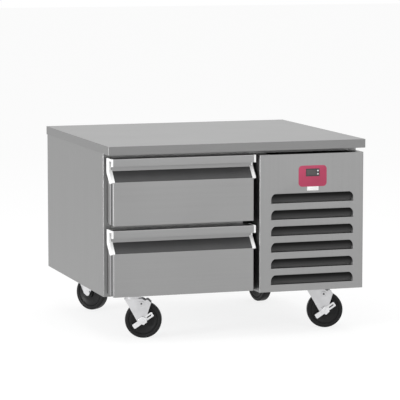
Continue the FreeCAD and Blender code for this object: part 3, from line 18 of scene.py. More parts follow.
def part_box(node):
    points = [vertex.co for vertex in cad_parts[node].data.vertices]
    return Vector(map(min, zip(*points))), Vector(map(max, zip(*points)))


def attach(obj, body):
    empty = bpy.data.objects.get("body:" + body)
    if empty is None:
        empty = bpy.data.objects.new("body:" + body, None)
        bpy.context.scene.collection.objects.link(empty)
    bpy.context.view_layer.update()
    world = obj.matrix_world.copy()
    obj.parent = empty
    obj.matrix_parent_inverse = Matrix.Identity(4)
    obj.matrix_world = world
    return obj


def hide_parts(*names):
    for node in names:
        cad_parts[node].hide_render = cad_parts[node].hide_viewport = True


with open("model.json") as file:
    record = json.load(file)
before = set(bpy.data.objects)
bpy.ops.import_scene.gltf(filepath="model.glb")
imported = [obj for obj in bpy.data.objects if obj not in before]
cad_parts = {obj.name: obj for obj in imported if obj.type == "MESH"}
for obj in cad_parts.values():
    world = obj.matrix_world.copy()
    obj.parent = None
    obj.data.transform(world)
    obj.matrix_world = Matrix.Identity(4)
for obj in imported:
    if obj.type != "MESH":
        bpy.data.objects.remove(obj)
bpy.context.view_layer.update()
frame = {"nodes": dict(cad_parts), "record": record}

scene = bpy.context.scene
nodes = frame["nodes"]
MM = 0.001
DRAWERS = ("upper", "lower")
CASTER_SPOTS = ("front_left", "front_right", "rear_left", "rear_right")
BRAKED_SPOTS = CASTER_SPOTS[:2]
PLAIN_SPOTS = CASTER_SPOTS[2:]

# %% [markdown]
# ## The camera
#
# A catalogue picture like this one is taken with a long lens from far away, so that upright edges
# stay upright. The place and the lens were worked out once, by fitting the worktop's corners and the
# wheels to the picture. They are kept as plain distances and angles.

# %% Place the camera
CAMERA_PLACE = Vector((-2.560, -7.829, 1.425))
CAMERA_YAW = math.radians(18.08)
CAMERA_PITCH = math.radians(-6.86)
CAMERA_LENS_MM = 207.9
CAMERA_SENSOR_MM = 36
CAMERA_REACH = 100

camera = bpy.data.objects.new("camera", bpy.data.cameras.new("camera"))
scene.collection.objects.link(camera)
camera.location = CAMERA_PLACE
camera.rotation_euler = (math.radians(90) + CAMERA_PITCH, 0, -CAMERA_YAW)
camera.data.lens = CAMERA_LENS_MM
camera.data.sensor_width = CAMERA_SENSOR_MM
camera.data.clip_end = CAMERA_REACH
scene.camera = camera
scene.view_settings.view_transform = "Standard"
print("camera:", CAMERA_LENS_MM, "mm,", round(camera.location.length, 2), "m away")

# %% [markdown]
# ## Shader maths that reads like Python
#
# A material is a graph of nodes, but its maths is easier to read as a formula. `Wire` wraps one
# socket and turns `+`, `-` and `*` into Math nodes. `Finish` holds a material, and its method `node`
# makes any node from its type, its settings and its inputs. The other methods are the few nodes that
# every finish needs.


# %% Wire and Finish
class Wire:
    """One socket of a material, with the arithmetic that the finishes below use."""

    def __init__(self, finish, socket):
        self.finish = finish
        self.socket = socket

    def maths(self, operation, first, second):
        return self.finish.node("ShaderNodeMath", {"operation": operation}, {0: first, 1: second})

    def __add__(self, other):
        return self.maths("ADD", self, other)

    def __radd__(self, other):
        return self.maths("ADD", other, self)

    def __sub__(self, other):
        return self.maths("SUBTRACT", self, other)

    def __rsub__(self, other):
        return self.maths("SUBTRACT", other, self)

    def __mul__(self, other):
        return self.maths("MULTIPLY", self, other)

    def __rmul__(self, other):
        return self.maths("MULTIPLY", other, self)


class Finish:
    """A material in the making: nodes go in, and `close` hands the material out."""

    def __init__(self, name):
        self.material = bpy.data.materials.new(name)
        self.material.use_nodes = True
        self.tree = self.material.node_tree
        self.tree.nodes.clear()

    def node(self, kind, settings=None, inputs=None, output=0):
        made = self.tree.nodes.new(kind)
        for key, value in (settings or {}).items():
            if key == "stops":
                self.set_stops(made.color_ramp, value)
            else:
                setattr(made, key, value)
        for key, value in (inputs or {}).items():
            self.feed(made.inputs[key], value)
        return Wire(self, made.outputs[output]) if made.outputs else None

    def set_stops(self, ramp, stops):
        while len(ramp.elements) < len(stops):
            ramp.elements.new(0.5)
        for element, (place, colour) in zip(ramp.elements, stops):
            element.position = place
            element.color = (*colour, 1)

    def feed(self, socket, value):
        if isinstance(value, Wire):
            self.tree.links.new(value.socket, socket)
        elif isinstance(value, (tuple, list)) and len(value) == 3 and socket.type == "RGBA":
            socket.default_value = (*value, 1)
        else:
            socket.default_value = value

    def mix(self, share, first, second):
        """Blend two colours; share is 0 for the first and 1 for the second.

        A Mix node repeats its socket names for each data type; 6, 7 and 2 are the colour's own.
        """
        return self.node(
            "ShaderNodeMix", {"data_type": "RGBA"}, {0: share, 6: first, 7: second}, output=2
        )

    def blend(self, share, first, second):
        """The same for two whole surfaces."""
        return self.node("ShaderNodeMixShader", None, {0: share, 1: first, 2: second})

    def coordinates(self):
        return self.node("ShaderNodeTexCoord", output="Object")

    def place(self, scale=(1, 1, 1)):
        """Object coordinates, stretched; the pattern stays with the piece when it moves."""
        ends = {"Vector": self.coordinates(), "Scale": scale}
        return self.node("ShaderNodeMapping", None, ends)

    def noise(self, where, size, detail=2.0, rough=0.5):
        """Noise whose features are about `size` metres across."""
        return self.node(
            "ShaderNodeTexNoise",
            None,
            {"Vector": where, "Scale": 1 / size, "Detail": detail, "Roughness": rough},
        )

    def bump(self, height, depth):
        return self.node("ShaderNodeBump", None, {"Height": height, "Distance": depth})

    def skin(self, **sockets):
        """A Principled surface; sockets use underscores for spaces."""
        inputs = {name.replace("_", " "): value for name, value in sockets.items()}
        return self.node("ShaderNodeBsdfPrincipled", None, inputs)

    def close(self, skin):
        self.node("ShaderNodeOutputMaterial", None, {"Surface": skin})
        return self.material

    def surface(self, **sockets):
        return self.close(self.skin(**sockets))


def toned(colour, factor):
    """The same colour, lighter or darker."""
    return [min(1, channel * factor) for channel in colour]


print("tools:", Wire.__name__, Finish.__name__)


# %% [markdown]
# ## The booth
#
# The picture has a pure white ground. The white comes from what the camera and the mirrors see, not
# from more light: the world is white for camera, glossy and transmission rays, and weaker for all
# others, so that the object isn't washed out. A white wall behind it could do the same, but it would
# show its corners from other sides. The floor is a pale diffuse sheet, so it still keeps the shadow.

# %% World
WORLD_LIGHT = 0.64

world = bpy.data.worlds.new("booth")
world.use_nodes = True
scene.world = world
tree = world.node_tree
tree.nodes.clear()
rays = tree.nodes.new("ShaderNodeLightPath")
seen = rays.outputs["Is Camera Ray"]
for kind in ("Is Glossy Ray", "Is Transmission Ray"):
    either = tree.nodes.new("ShaderNodeMath")
    either.operation = "MAXIMUM"
    tree.links.new(seen, either.inputs[0])
    tree.links.new(rays.outputs[kind], either.inputs[1])
    seen = either.outputs[0]
level = tree.nodes.new("ShaderNodeMapRange")
tree.links.new(seen, level.inputs["Value"])
level.inputs["To Min"].default_value = WORLD_LIGHT
level.inputs["To Max"].default_value = 1.0
sky = tree.nodes.new("ShaderNodeBackground")
sky.inputs["Color"].default_value = (1, 1, 1, 1)
tree.links.new(level.outputs[0], sky.inputs["Strength"])
out = tree.nodes.new("ShaderNodeOutputWorld")
tree.links.new(sky.outputs[0], out.inputs["Surface"])
print("world:", WORLD_LIGHT, "for plain rays, 1.0 for camera and mirrors")

# %% Floor
FLOOR_PALENESS = 0.72
FLOOR_GLOW = 1.12
FLOOR_TONE = (0.86, 0.86, 0.86)
FLOOR_REACH = 30


def booth_floor():
    """A wide pale floor; camera and mirrors see it paler, so that it closes with the ground."""
    finish = Finish("booth_floor")
    by_camera = finish.node("ShaderNodeLightPath", output="Is Camera Ray")
    by_mirror = finish.node("ShaderNodeLightPath", output="Is Glossy Ray")
    sheet = finish.node("ShaderNodeBsdfDiffuse", None, {"Color": FLOOR_TONE})
    glow = finish.node("ShaderNodeEmission", None, {"Strength": FLOOR_GLOW})
    seen = by_camera.maths("MAXIMUM", by_camera, by_mirror) * FLOOR_PALENESS
    material = finish.close(finish.blend(seen, sheet, glow))
    bm = bmesh.new()
    bmesh.ops.create_grid(bm, x_segments=1, y_segments=1, size=FLOOR_REACH)
    mesh = bpy.data.meshes.new("booth_floor")
    bm.to_mesh(mesh)
    bm.free()
    floor = bpy.data.objects.new("booth_floor", mesh)
    scene.collection.objects.link(floor)
    floor.data.materials.append(material)
    print("floor:", FLOOR_REACH, "m to each side")


booth_floor()

# %% Lamps
BODY_MIDDLE = (0, 0, 0.4)
BODY_TOP = (0, 0, 0.6)


def softbox(name, place, target, size, power):
    """A square area lamp at a place, aimed at a point."""
    lamp = bpy.data.lights.new(name, "AREA")
    lamp.shape = "SQUARE"
    lamp.size = size
    lamp.energy = power
    made = bpy.data.objects.new(name, lamp)
    scene.collection.objects.link(made)
    made.location = place
    aim = Vector(target) - Vector(place)
    made.rotation_euler = aim.to_track_quat("-Z", "Y").to_euler()
    made.visible_camera = False
    print(name, "of", power, "W")


softbox("lamp_above", (0.0, -0.6, 3.6), BODY_MIDDLE, size=3.2, power=40)
softbox("lamp_left", (-4.2, -1.4, 1.0), BODY_MIDDLE, size=1.2, power=110)
softbox("lamp_front", (1.8, -4.8, 2.4), BODY_MIDDLE, size=2.6, power=42)
softbox("lamp_behind", (1.4, 4.4, 2.7), BODY_TOP, size=2.0, power=3)

# %% [markdown]
# ## Finishes
#
# Most of the object is brushed stainless sheet. Its grain is thousands of fine parallel scratches
# from an abrasive belt. A noise that is stretched some eighty times along the belt's direction gives
# them: once as a faint change of tone, once as roughness and once as a very shallow bump.


# %% Brushed stainless sheet
ALONG_X, ALONG_Z = 0, 2
BELT_STRETCH = 0.012
SCRATCH_WIDTH = 1.6 * MM
STREAK_WIDTH = 11 * MM
CLOUD_WIDTH = 220 * MM
SCRATCH_DEPTH = 0.03 * MM


def brushed_steel(name, tone, grain, rough=0.36, shade=None):
    """Stainless sheet; grain is the axis that the belt ran along.

    `shade` makes a mask and a dark, dull tone for painted shade on the places that lie in shade.
    """
    finish = Finish(name)
    stretch = [1.0, 1.0, 1.0]
    stretch[grain] = BELT_STRETCH
    along = finish.place(stretch)
    lines = finish.noise(along, SCRATCH_WIDTH, detail=3, rough=0.65)
    streaks = finish.noise(along, STREAK_WIDTH)
    clouds = finish.noise(finish.place(), CLOUD_WIDTH)
    uneven = clouds * 0.35 + streaks * 0.35 + lines * 0.3
    steel = finish.skin(
        Base_Color=finish.mix(uneven, toned(tone, 0.90), toned(tone, 1.09)),
        Metallic=0.92,
        Roughness=rough - 0.06 + lines * 0.08 + clouds * 0.05,
        Normal=finish.bump(lines, SCRATCH_DEPTH),
    )
    if shade:
        # Painted shade: a dark, dull skin takes over where the mask says.
        where_painted_shade, painted_shade_tone = shade(finish)
        dull = finish.skin(Base_Color=painted_shade_tone, Roughness=0.9, Specular_IOR_Level=0.05)
        steel = finish.blend(where_painted_shade, steel, dull)
    return finish.close(steel)


STEEL = (0.305, 0.305, 0.305)
steel_across = brushed_steel("stainless_across", STEEL, ALONG_X)
# The worktop and the upright side sheets are the same stainless as the front, toned darker as painted
# shade, because more light falls on the top and the sides.
steel_top = brushed_steel("stainless_worktop", (0.225, 0.225, 0.225), ALONG_X)
mill_steel = brushed_steel("mill_finish", (0.54, 0.54, 0.54), ALONG_X, rough=0.30)
steel_up = brushed_steel("stainless_up", (0.255, 0.255, 0.255), ALONG_Z)
liner_steel = brushed_steel("liner_steel", (0.37, 0.37, 0.38), ALONG_X, rough=0.42)
print("sheets:", steel_across.name, steel_top.name, mill_steel.name, steel_up.name, liner_steel.name)

# %% [markdown]
# The louvres are pressed into the cover, and their hoods carry painted shade: a dull, dark skin,
# darkest under each top edge, where the shade lies deepest. The mullion beside the cover carries
# painted shade in the same way, for the gap between the drawers and the cover. Both could be pieces
# of their own, but each belongs to a larger sheet, so they come from masks on the place of a point
# and stay put from every side.


# %% Painted shade in the hoods
SLOT_LEFT, SLOT_RIGHT = 117.5 * MM, 420.5 * MM
LOWEST_SLOT = 181.5 * MM
SLOT_PITCH = 56.5 * MM
SLOT_MARGIN = 2 * MM
HOOD_FROM, HOOD_FULL = 0.7 * MM, 1.5 * MM
# Tones of the painted shade in the hoods, lighter at the foot of each slot, darkest under its top
# edge.
HOOD_SHADE_TONES = [(0.0, 0.19), (0.2, 0.070), (0.38, 0.020), (0.58, 0.004)]
MULLION_LEFT = 41 * MM
MULLION_UNDER_COVER = 3 * MM
# Painted shade on the mullion, for the gap between the drawers and the cover.
MULLION_SHADE_TONE = (0.010, 0.010, 0.010)
MASK_EDGE = 0.5 * MM
cover_low, cover_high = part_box("machine_cover")
cover_face = cover_low[1]


def axes(finish):
    """The X, Y and Z of object coordinates, one wire each."""
    where = {"Vector": finish.coordinates()}
    return [finish.node("ShaderNodeSeparateXYZ", None, where, output=axis) for axis in "XYZ"]


def ramp(value, low, high, start=0.0, end=1.0):
    """Start at low, end at high, and a straight line between."""
    ends = {"Value": value, "From Min": low, "From Max": high, "To Min": start, "To Max": end}
    return value.finish.node("ShaderNodeMapRange", None, ends)


def span(value, low, high):
    """1 between two values and 0 outside them."""
    return ramp(value, low, low + MASK_EDGE) * ramp(value, high - MASK_EDGE, high, 1.0, 0.0)


def painted_shade_in_hoods(finish):
    """The hoods, and their painted shade: darkest under each top edge, lighter at the foot."""
    x, y, z = axes(finish)
    behind = ramp(y, cover_face + HOOD_FROM, cover_face + HOOD_FULL)
    between = span(x, SLOT_LEFT - SLOT_MARGIN, SLOT_RIGHT + SLOT_MARGIN)
    pitches = (z - LOWEST_SLOT) * (1 / SLOT_PITCH)
    up = finish.node("ShaderNodeMath", {"operation": "FRACT"}, {0: pitches})
    stops = [(place, (tone, tone, tone)) for place, tone in HOOD_SHADE_TONES]
    return behind * between, finish.node("ShaderNodeValToRGB", {"stops": stops}, {"Fac": up})


def painted_shade_beside_cover(finish):
    """Painted shade on the mullion between the drawers and the cover, up to the cover's top."""
    x, _, z = axes(finish)
    top = cover_high[2]
    below = ramp(z, top, top + 1 * MM, 1.0, 0.0)
    between = span(x, MULLION_LEFT, cover_low[0] + MULLION_UNDER_COVER)
    return between * below, MULLION_SHADE_TONE


steel_cover = brushed_steel("stainless_cover", STEEL, ALONG_Z, shade=painted_shade_in_hoods)
steel_frame = brushed_steel("stainless_frame", STEEL, ALONG_Z, shade=painted_shade_beside_cover)
print("shaded:", steel_cover.name, steel_frame.name)

# %% [markdown]
# Zinc plate is brighter and bluer than stainless, and it is never quite even: the bath leaves soft
# clouds, and handling leaves small duller marks. Galvanised sheet is the same metal, laid on hot, so
# it freezes into flat crystals that catch the light one by one.


# %% Zinc plate and galvanised sheet
CRYSTALS_PER_METRE = 90


def zinc_plate(name, dull, bright):
    """Plated steel between two tones; levers and nuts are brighter than forks."""
    finish = Finish(name)
    where = finish.place()
    clouds = finish.noise(where, 30 * MM, detail=3)
    marks = finish.noise(where, 4 * MM, detail=4, rough=0.7)
    return finish.surface(
        Base_Color=finish.mix(clouds, dull, bright),
        Metallic=0.85,
        Roughness=0.24 + marks * 0.16,
        Normal=finish.bump(marks, 0.04 * MM),
    )


def galvanised_sheet(name):
    """Hot-dipped sheet: the rear panel, the base's floor and the fan's shroud."""
    finish = Finish(name)
    where = finish.place()
    crystals = finish.node(
        "ShaderNodeTexVoronoi", None, {"Vector": where, "Scale": CRYSTALS_PER_METRE}, output="Color"
    )
    share = finish.node("ShaderNodeSeparateColor", None, {"Color": crystals}, output="Red")
    clouds = finish.noise(where, 120 * MM)
    colour = finish.mix(share * 0.5 + clouds * 0.5, (0.33, 0.34, 0.35), (0.47, 0.48, 0.49))
    return finish.surface(Base_Color=colour, Metallic=0.85, Roughness=0.38 + share * 0.14)


zinc = zinc_plate("zinc_plate", (0.50, 0.50, 0.51), (0.70, 0.70, 0.71))
bright_zinc = zinc_plate("bright_zinc", (0.66, 0.66, 0.67), (0.84, 0.84, 0.85))
galvanised = galvanised_sheet("galvanised")
print("zinc:", zinc.name, bright_zinc.name, galvanised.name)

# %% [markdown]
# Moulded plastic and rubber are not metals, so their colour shows by itself and the highlight lies on
# top. Each has a fine skin: a spark-eroded grain on plastic, and a duller, patchier bloom on rubber.
# The parts of the machine are painted steel, bare copper and aluminium fins.


# %% Mouldings, rubber, paint and bare metal
WAVE_LENGTH = 0.314
FIN_PITCH = 3 * MM
FIN_SHADOW = (0.05, 0.05, 0.05)
CELLS_PER_METRE = 700


def moulding(name, tone, rough, depth=0.03 * MM):
    """Plastic from a spark-eroded tool; depth is the grain's own."""
    finish = Finish(name)
    where = finish.place()
    texture = finish.noise(where, 0.7 * MM)
    clouds = finish.noise(where, 50 * MM)
    return finish.surface(
        Base_Color=finish.mix(clouds, toned(tone, 0.88), toned(tone, 1.12)),
        Roughness=rough - 0.05 + texture * 0.1,
        Normal=finish.bump(texture, depth),
    )


def rubber(name, tone):
    """Hard rubber with a patchy, paler bloom."""
    finish = Finish(name)
    where = finish.place()
    bloom = finish.noise(where, 18 * MM, detail=4, rough=0.6)
    grain = finish.noise(where, 0.9 * MM)
    bloomed = [channel * 1.9 + 0.004 for channel in tone]
    return finish.surface(
        Base_Color=finish.mix(bloom, tone, bloomed),
        Specular_IOR_Level=0.16,
        Roughness=0.30 + bloom * 0.2,
        Normal=finish.bump(grain, 0.06 * MM),
    )


def painted_steel(name, tone, rough):
    """Sprayed paint, with a little orange peel."""
    finish = Finish(name)
    where = finish.place()
    peel = finish.noise(where, 3.5 * MM)
    clouds = finish.noise(where, 60 * MM)
    return finish.surface(
        Base_Color=finish.mix(clouds, tone, toned(tone, 1.25)),
        Roughness=rough + clouds * 0.08,
        Normal=finish.bump(peel, 0.12 * MM),
    )


def drawn_copper(name, dull, bright):
    """Copper tube that was never plated, with a soft tarnish."""
    finish = Finish(name)
    tarnish = finish.noise(finish.place(), 28 * MM, detail=4, rough=0.6)
    return finish.surface(
        Base_Color=finish.mix(tarnish, dull, bright), Metallic=0.95, Roughness=0.3 + tarnish * 0.15
    )


def finned_metal(name, dull, bright):
    """A coil's face: the edges of thin fins, with painted shade in the gaps between them.

    A Wave texture of scale 1 repeats every WAVE_LENGTH metres.
    """
    finish = Finish(name)
    where = finish.place()
    bands = {"Vector": where, "Scale": WAVE_LENGTH / FIN_PITCH, "Distortion": 0.0}
    edges = finish.node("ShaderNodeTexWave", {"bands_direction": "X"}, bands, output="Fac")
    dust = finish.noise(where, 50 * MM, detail=3)
    return finish.surface(
        Base_Color=finish.mix(edges, FIN_SHADOW, finish.mix(dust, dull, bright)),
        Metallic=0.9,
        Roughness=0.35 + dust * 0.15,
        Normal=finish.bump(edges, 1 * MM),
    )


def poured_foam(name):
    """Insulating foam, with its small closed cells as a bump."""
    finish = Finish(name)
    where = finish.place()
    ends = {"Vector": where, "Scale": CELLS_PER_METRE}
    cells = finish.node("ShaderNodeTexVoronoi", None, ends, output="Distance")
    clouds = finish.noise(where, 30 * MM)
    colour = finish.mix(clouds, (0.62, 0.50, 0.24), (0.74, 0.63, 0.36))
    return finish.surface(Base_Color=colour, Roughness=0.85, Normal=finish.bump(cells, 0.4 * MM))


grip_black = moulding("grip_black", (0.046, 0.046, 0.047), rough=0.55)
cap_grey = moulding("cap_light_grey", (0.86, 0.86, 0.86), rough=0.34)
core_dark = moulding("core_dark", (0.075, 0.075, 0.078), rough=0.6)
pane_dark = moulding("display_pane", (0.072, 0.065, 0.065), rough=0.22, depth=0.005 * MM)
crimson = moulding("crimson_plate", (0.41, 0.036, 0.095), rough=0.5, depth=0.01 * MM)
controller_black = moulding("controller_dark", (0.030, 0.030, 0.032), rough=0.35)
button_white = moulding("button_white", (0.78, 0.78, 0.79), rough=0.4)
label_white = moulding("label_white", (0.88, 0.88, 0.87), rough=0.5, depth=0.01 * MM)
acetal = moulding("acetal", (0.80, 0.80, 0.77), rough=0.38)
fan_black = moulding("fan_black", (0.026, 0.026, 0.027), rough=0.45)
pan_black = moulding("pan_black", (0.040, 0.040, 0.042), rough=0.5)
gland_black = moulding("gland_black", (0.020, 0.020, 0.021), rough=0.45)
gasket_rubber = rubber("gasket_rubber", (0.045, 0.045, 0.047))
wheel_rubber = rubber("wheel_rubber", (0.008, 0.008, 0.0083))
compressor_black = painted_steel("compressor_black", (0.018, 0.018, 0.019), rough=0.3)
motor_grey = painted_steel("motor_grey", (0.13, 0.14, 0.15), rough=0.42)
copper = drawn_copper("copper_tube", (0.42, 0.17, 0.09), (0.66, 0.32, 0.19))
fins = finned_metal("fin_aluminium", (0.52, 0.53, 0.54), (0.70, 0.71, 0.72))
foam = poured_foam("insulating_foam")
print("finishes:", len(bpy.data.materials))

# %% [markdown]
# ## Which node gets which finish
#
# The record already says what each node is made of, and the first table says which finish that is
# here. The second is for nodes whose finish differs from their material's plain one: sheets with an
# upright grain, a lighter tone, a darker tone that is painted shade, or a part with painted shade,
# and the bright levers.

# %% Assign the finishes
FINISH_OF_SLOT = {
    "stainless": steel_across,
    "liner_steel": liner_steel,
    "galvanised": galvanised,
    "foam": foam,
    "core_break": core_dark,
    "grip_black": grip_black,
    "cap_grey": cap_grey,
    "gasket_grey": gasket_rubber,
    "acetal": acetal,
    "crimson": crimson,
    "controller_black": controller_black,
    "button_rubber": button_white,
    "compressor_black": compressor_black,
    "fin_aluminium": fins,
    "fan_black": fan_black,
    "motor_grey": motor_grey,
    "copper": copper,
    "pan_plastic": pan_black,
    "gland_black": gland_black,
    "zinc": zinc,
    "wheel_rubber": wheel_rubber,
}
FINISH_OF_NODE = {
    "worktop": steel_top,
    "left_side_panel": steel_up,
    "right_side_panel": steel_up,
    "machine_cover": steel_cover,
    "front_frame": steel_frame,
}
FINISH_OF_NODE |= {f"{drawer}_rear_pan": mill_steel for drawer in DRAWERS}
FINISH_OF_NODE |= {f"brake_lever_{spot}": bright_zinc for spot in BRAKED_SPOTS}
slot_of = {row["node"]: row["material_slot"] for row in frame["record"]["subparts"]}
for name, node in nodes.items():
    node.data.materials.clear()
    node.data.materials.append(FINISH_OF_NODE.get(name, FINISH_OF_SLOT[slot_of[name]]))
print("finished nodes:", len(nodes), "of them by name:", len(FINISH_OF_NODE))

# %% [markdown]
# ## Breaking the edges
#
# No real edge is perfectly sharp: a folded sheet has a small outer radius, a sheared edge is
# deburred, a moulding has a radius from its tool. That thin rounded band is what catches the light
# and draws an object's outline. It could be filleted in the model, but a modifier does it here for
# every edge at once. `eased` copies a node's mesh, welds its loose triangles back into faces, and
# gives every true edge a narrow bevel; the copy then stands for the node. A width of 0 leaves the
# edges and only evens the shading, as on the cover, whose pressed edges are round already.


# %% The tools that make a piece
behaviour = frame["record"]["behaviour"]
body_of_node = {node: body for body, held in behaviour["bodies"].items() for node in held}
joint_named = {row["name"]: row for row in behaviour["joints"]}
EDGE_ANGLE = math.radians(28)
FLAT_ANGLE = math.radians(0.6)
CORNER_ANGLE = math.radians(55)
WELD_DISTANCE = 0.005 * MM
LEVER_CORNER = 3.5 * MM
WORKTOP_CORNER = 3.0 * MM
PARALLEL = 0.999
UP = Vector((0, 0, 1))


def welded(node):
    """A bmesh of a node with its triangles welded and its flat faces made whole."""
    bm = bmesh.new()
    bm.from_mesh(nodes[node].data)
    bmesh.ops.remove_doubles(bm, verts=bm.verts, dist=WELD_DISTANCE)
    bmesh.ops.dissolve_limit(
        bm, angle_limit=FLAT_ANGLE, verts=bm.verts, edges=bm.edges, delimit=set()
    )
    return bm


def bevelled(bm, edges, width, segments, clamp=True):
    """Round some edges of a bmesh."""
    bmesh.ops.bevel(
        bm,
        geom=edges,
        offset=width,
        segments=segments,
        profile=0.5,
        affect="EDGES",
        material=-1,
        clamp_overlap=clamp,
    )


def smooth_but_creased(piece):
    """Shade round surfaces smoothly and keep every edge sharper than EDGE_ANGLE crisp."""
    for face in piece.data.polygons:
        face.use_smooth = True
    piece.data.set_sharp_from_angle(angle=EDGE_ANGLE)


def finished(name, bm, node, material, replaces=()):
    """Make a piece from its bmesh: it rides on the node's body and may stand for nodes."""
    mesh = bpy.data.meshes.new(name)
    bm.to_mesh(mesh)
    bm.free()
    piece = bpy.data.objects.new(name, mesh)
    scene.collection.objects.link(piece)
    mesh.materials.append(material)
    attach(piece, body_of_node[node])
    if replaces:
        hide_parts(*replaces)
    smooth_but_creased(piece)
    return piece


def corner_edges(bm, axis):
    """The sharp outward edges that run along an axis."""
    found = []
    for edge in bm.edges:
        run = (edge.verts[1].co - edge.verts[0].co).normalized()
        sharp = len(edge.link_faces) == 2 and edge.calc_face_angle() > CORNER_ANGLE
        if sharp and edge.is_convex and abs(run.dot(axis)) > PARALLEL:
            found.append(edge)
    return found


def outermost(edges, node):
    """Of some upright edges, those at the corners of a node's box."""
    across, along = [{round(place, 5) for place in pair} for pair in zip(*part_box(node))][:2]
    return [
        edge
        for edge in edges
        if all(round(v.co.x, 5) in across and round(v.co.y, 5) in along for v in edge.verts)
    ]


def eased(node, width):
    """The piece that stands for a node, with edges of a given width."""
    bm = welded(node)
    if node.startswith("brake_lever"):
        bevelled(bm, corner_edges(bm, Vector(joint_named[node]["axis"])), LEVER_CORNER, 4)
    if node == "worktop":
        bevelled(bm, outermost(corner_edges(bm, UP), node), WORKTOP_CORNER, 4)
    piece = finished(f"{node}_eased", bm, node, nodes[node].data.materials[0], [node])
    if width:
        soft = piece.modifiers.new("soft_edges", "BEVEL")
        soft.width = width
        soft.segments = 2
        soft.limit_method = "ANGLE"
        soft.angle_limit = EDGE_ANGLE
        soft.use_clamp_overlap = True
        soft.miter_outer = "MITER_ARC"
    flat = piece.modifiers.new("flat_faces", "WEIGHTED_NORMAL")
    flat.keep_sharp = True


# %% [markdown]
# The widths below are in millimetres. Folded sheets take the narrowest, mouldings a wider one, and
# the compressor's pressed shell the widest.

# %% Ease the edges of the nodes
EASED_EDGES = {
    "worktop": 0.7,
    "left_side_panel": 0.35,
    "right_side_panel": 0.35,
    "machine_cover": 0,
    "front_frame": 0.3,
    "temperature_controller": 0.6,
    "button_upper": 1.0,
    "button_lower": 1.0,
    "cord_gland": 0.5,
    "compressor": 2.5,
    "condenser_motor": 1.5,
    "evaporator_motor": 1.0,
    "condenser_fan": 0.3,
    "evaporator_fan": 0.3,
    "fan_shroud": 0.4,
    "evaporator_housing": 0.4,
    "condensate_pan": 0.5,
    "caster_plates": 0.6,
    "caster_bolts": 0.5,
}
DRAWER_EDGES = {
    "outer_skin": 0.4,
    "rear_pan": 0.35,
    "end_caps": 0.8,
    "grip_strip": 0.5,
    "core": 0.5,
    "gasket": 1.2,
    "pan_frame": 0.3,
    "middle_rails": 0.3,
    "slide_blocks": 0.4,
}
for drawer in DRAWERS:
    EASED_EDGES |= {f"{drawer}_{part}": width for part, width in DRAWER_EDGES.items()}
EASED_EDGES |= {f"caster_fork_{spot}": 0.7 for spot in CASTER_SPOTS}
EASED_EDGES |= {f"caster_axle_{spot}": 0.6 for spot in PLAIN_SPOTS}
EASED_EDGES |= {f"brake_lever_{spot}": 0.6 for spot in BRAKED_SPOTS}

for node, width in EASED_EDGES.items():
    eased(node, width * MM)
print("eased:", len(EASED_EDGES))

# %% [markdown]
# ## Wheels
#
# A caster wheel of this kind is moulded in one hard rubber: a tread with rounded shoulders, a thin
# groove where the tread meets the centre, a raised ring, a shallow dish and a hub boss round the
# bore. All of that is round, so it is drawn once as a half section and spun. `axle_place` turns the
# spun shape from the Z axis onto the wheel's own axle, which the joint already knows.


# %% Turned shapes on an axle
def turned_up_to(axis):
    """The turn that takes the Z axis onto another one."""
    return UP.rotation_difference(axis).to_matrix().to_4x4()


def axle_place(spot):
    """The turn and shift that take the Z axis onto a wheel's axle."""
    joint = joint_named[f"wheel_spin_{spot}"]
    return Matrix.Translation(Vector(joint["pos_m"])) @ turned_up_to(Vector(joint["axis"]))


def turned(section, steps):
    """Spin a closed half section of (radius, height), in millimetres, round the Z axis."""
    bm = bmesh.new()
    corners = [bm.verts.new((radius * MM, 0, height * MM)) for radius, height in section]
    for k, corner in enumerate(corners):
        bm.edges.new((corner, corners[(k + 1) % len(corners)]))
    bmesh.ops.spin(
        bm,
        geom=bm.verts[:] + bm.edges[:],
        cent=(0, 0, 0),
        axis=(0, 0, 1),
        angle=math.tau,
        steps=steps,
        use_merge=True,
    )
    bmesh.ops.remove_doubles(bm, verts=bm.verts, dist=WELD_DISTANCE)
    bmesh.ops.recalc_face_normals(bm, faces=bm.faces)
    return bm


WHEEL_STEPS = 96
WHEEL_SIDE = [
    (5.2, 19.4),
    (14.6, 19.4),
    (15.8, 18.6),
    (16.4, 12.6),
    (22.0, 11.6),
    (38.0, 12.8),
    (41.5, 14.6),
    (44.5, 15.2),
    (47.5, 14.6),
    (49.0, 13.2),
    (50.2, 13.2),
    (51.0, 15.0),
    (53.5, 15.9),
    (58.0, 15.9),
    (61.2, 14.8),
    (63.0, 12.6),
    (63.5, 9.5),
]
other_side = [(radius, -height) for radius, height in reversed(WHEEL_SIDE)]
for spot in CASTER_SPOTS:
    bm = turned(WHEEL_SIDE + other_side, WHEEL_STEPS)
    bmesh.ops.transform(bm, matrix=axle_place(spot), verts=bm.verts)
    node = f"caster_wheel_{spot}"
    wheel = finished(f"wheel_{spot}_moulded", bm, node, wheel_rubber, [node])
print("wheel:", len(wheel.data.polygons), "faces")

# %% [markdown]
# ## Brake nuts
#
# The two front casters have brakes: a lever beside the wheel, held by a bolt with a lobed nut. The
# nut starts as a short cylinder whose rim swells six times, and the bolt's rounded end stands out of
# it. The head on the far side is a plain hexagon.


# %% Bolts with lobed nuts
LOBES = 6
LOBE_SWELL = 0.085
NUT_RADIUS = 13.6
NUT_HEIGHT = 6.5
HEAD_ACROSS = 17.0
HEAD_HEIGHT = 6.0
HEXAGON = 6
FORK_OUTSIDE = 23.0
LEVER_OUTSIDE = FORK_OUTSIDE + 3.6
BOLT_RADIUS = 5.0
BOLT_OUT = 2.5
LEVEL = 1e-7


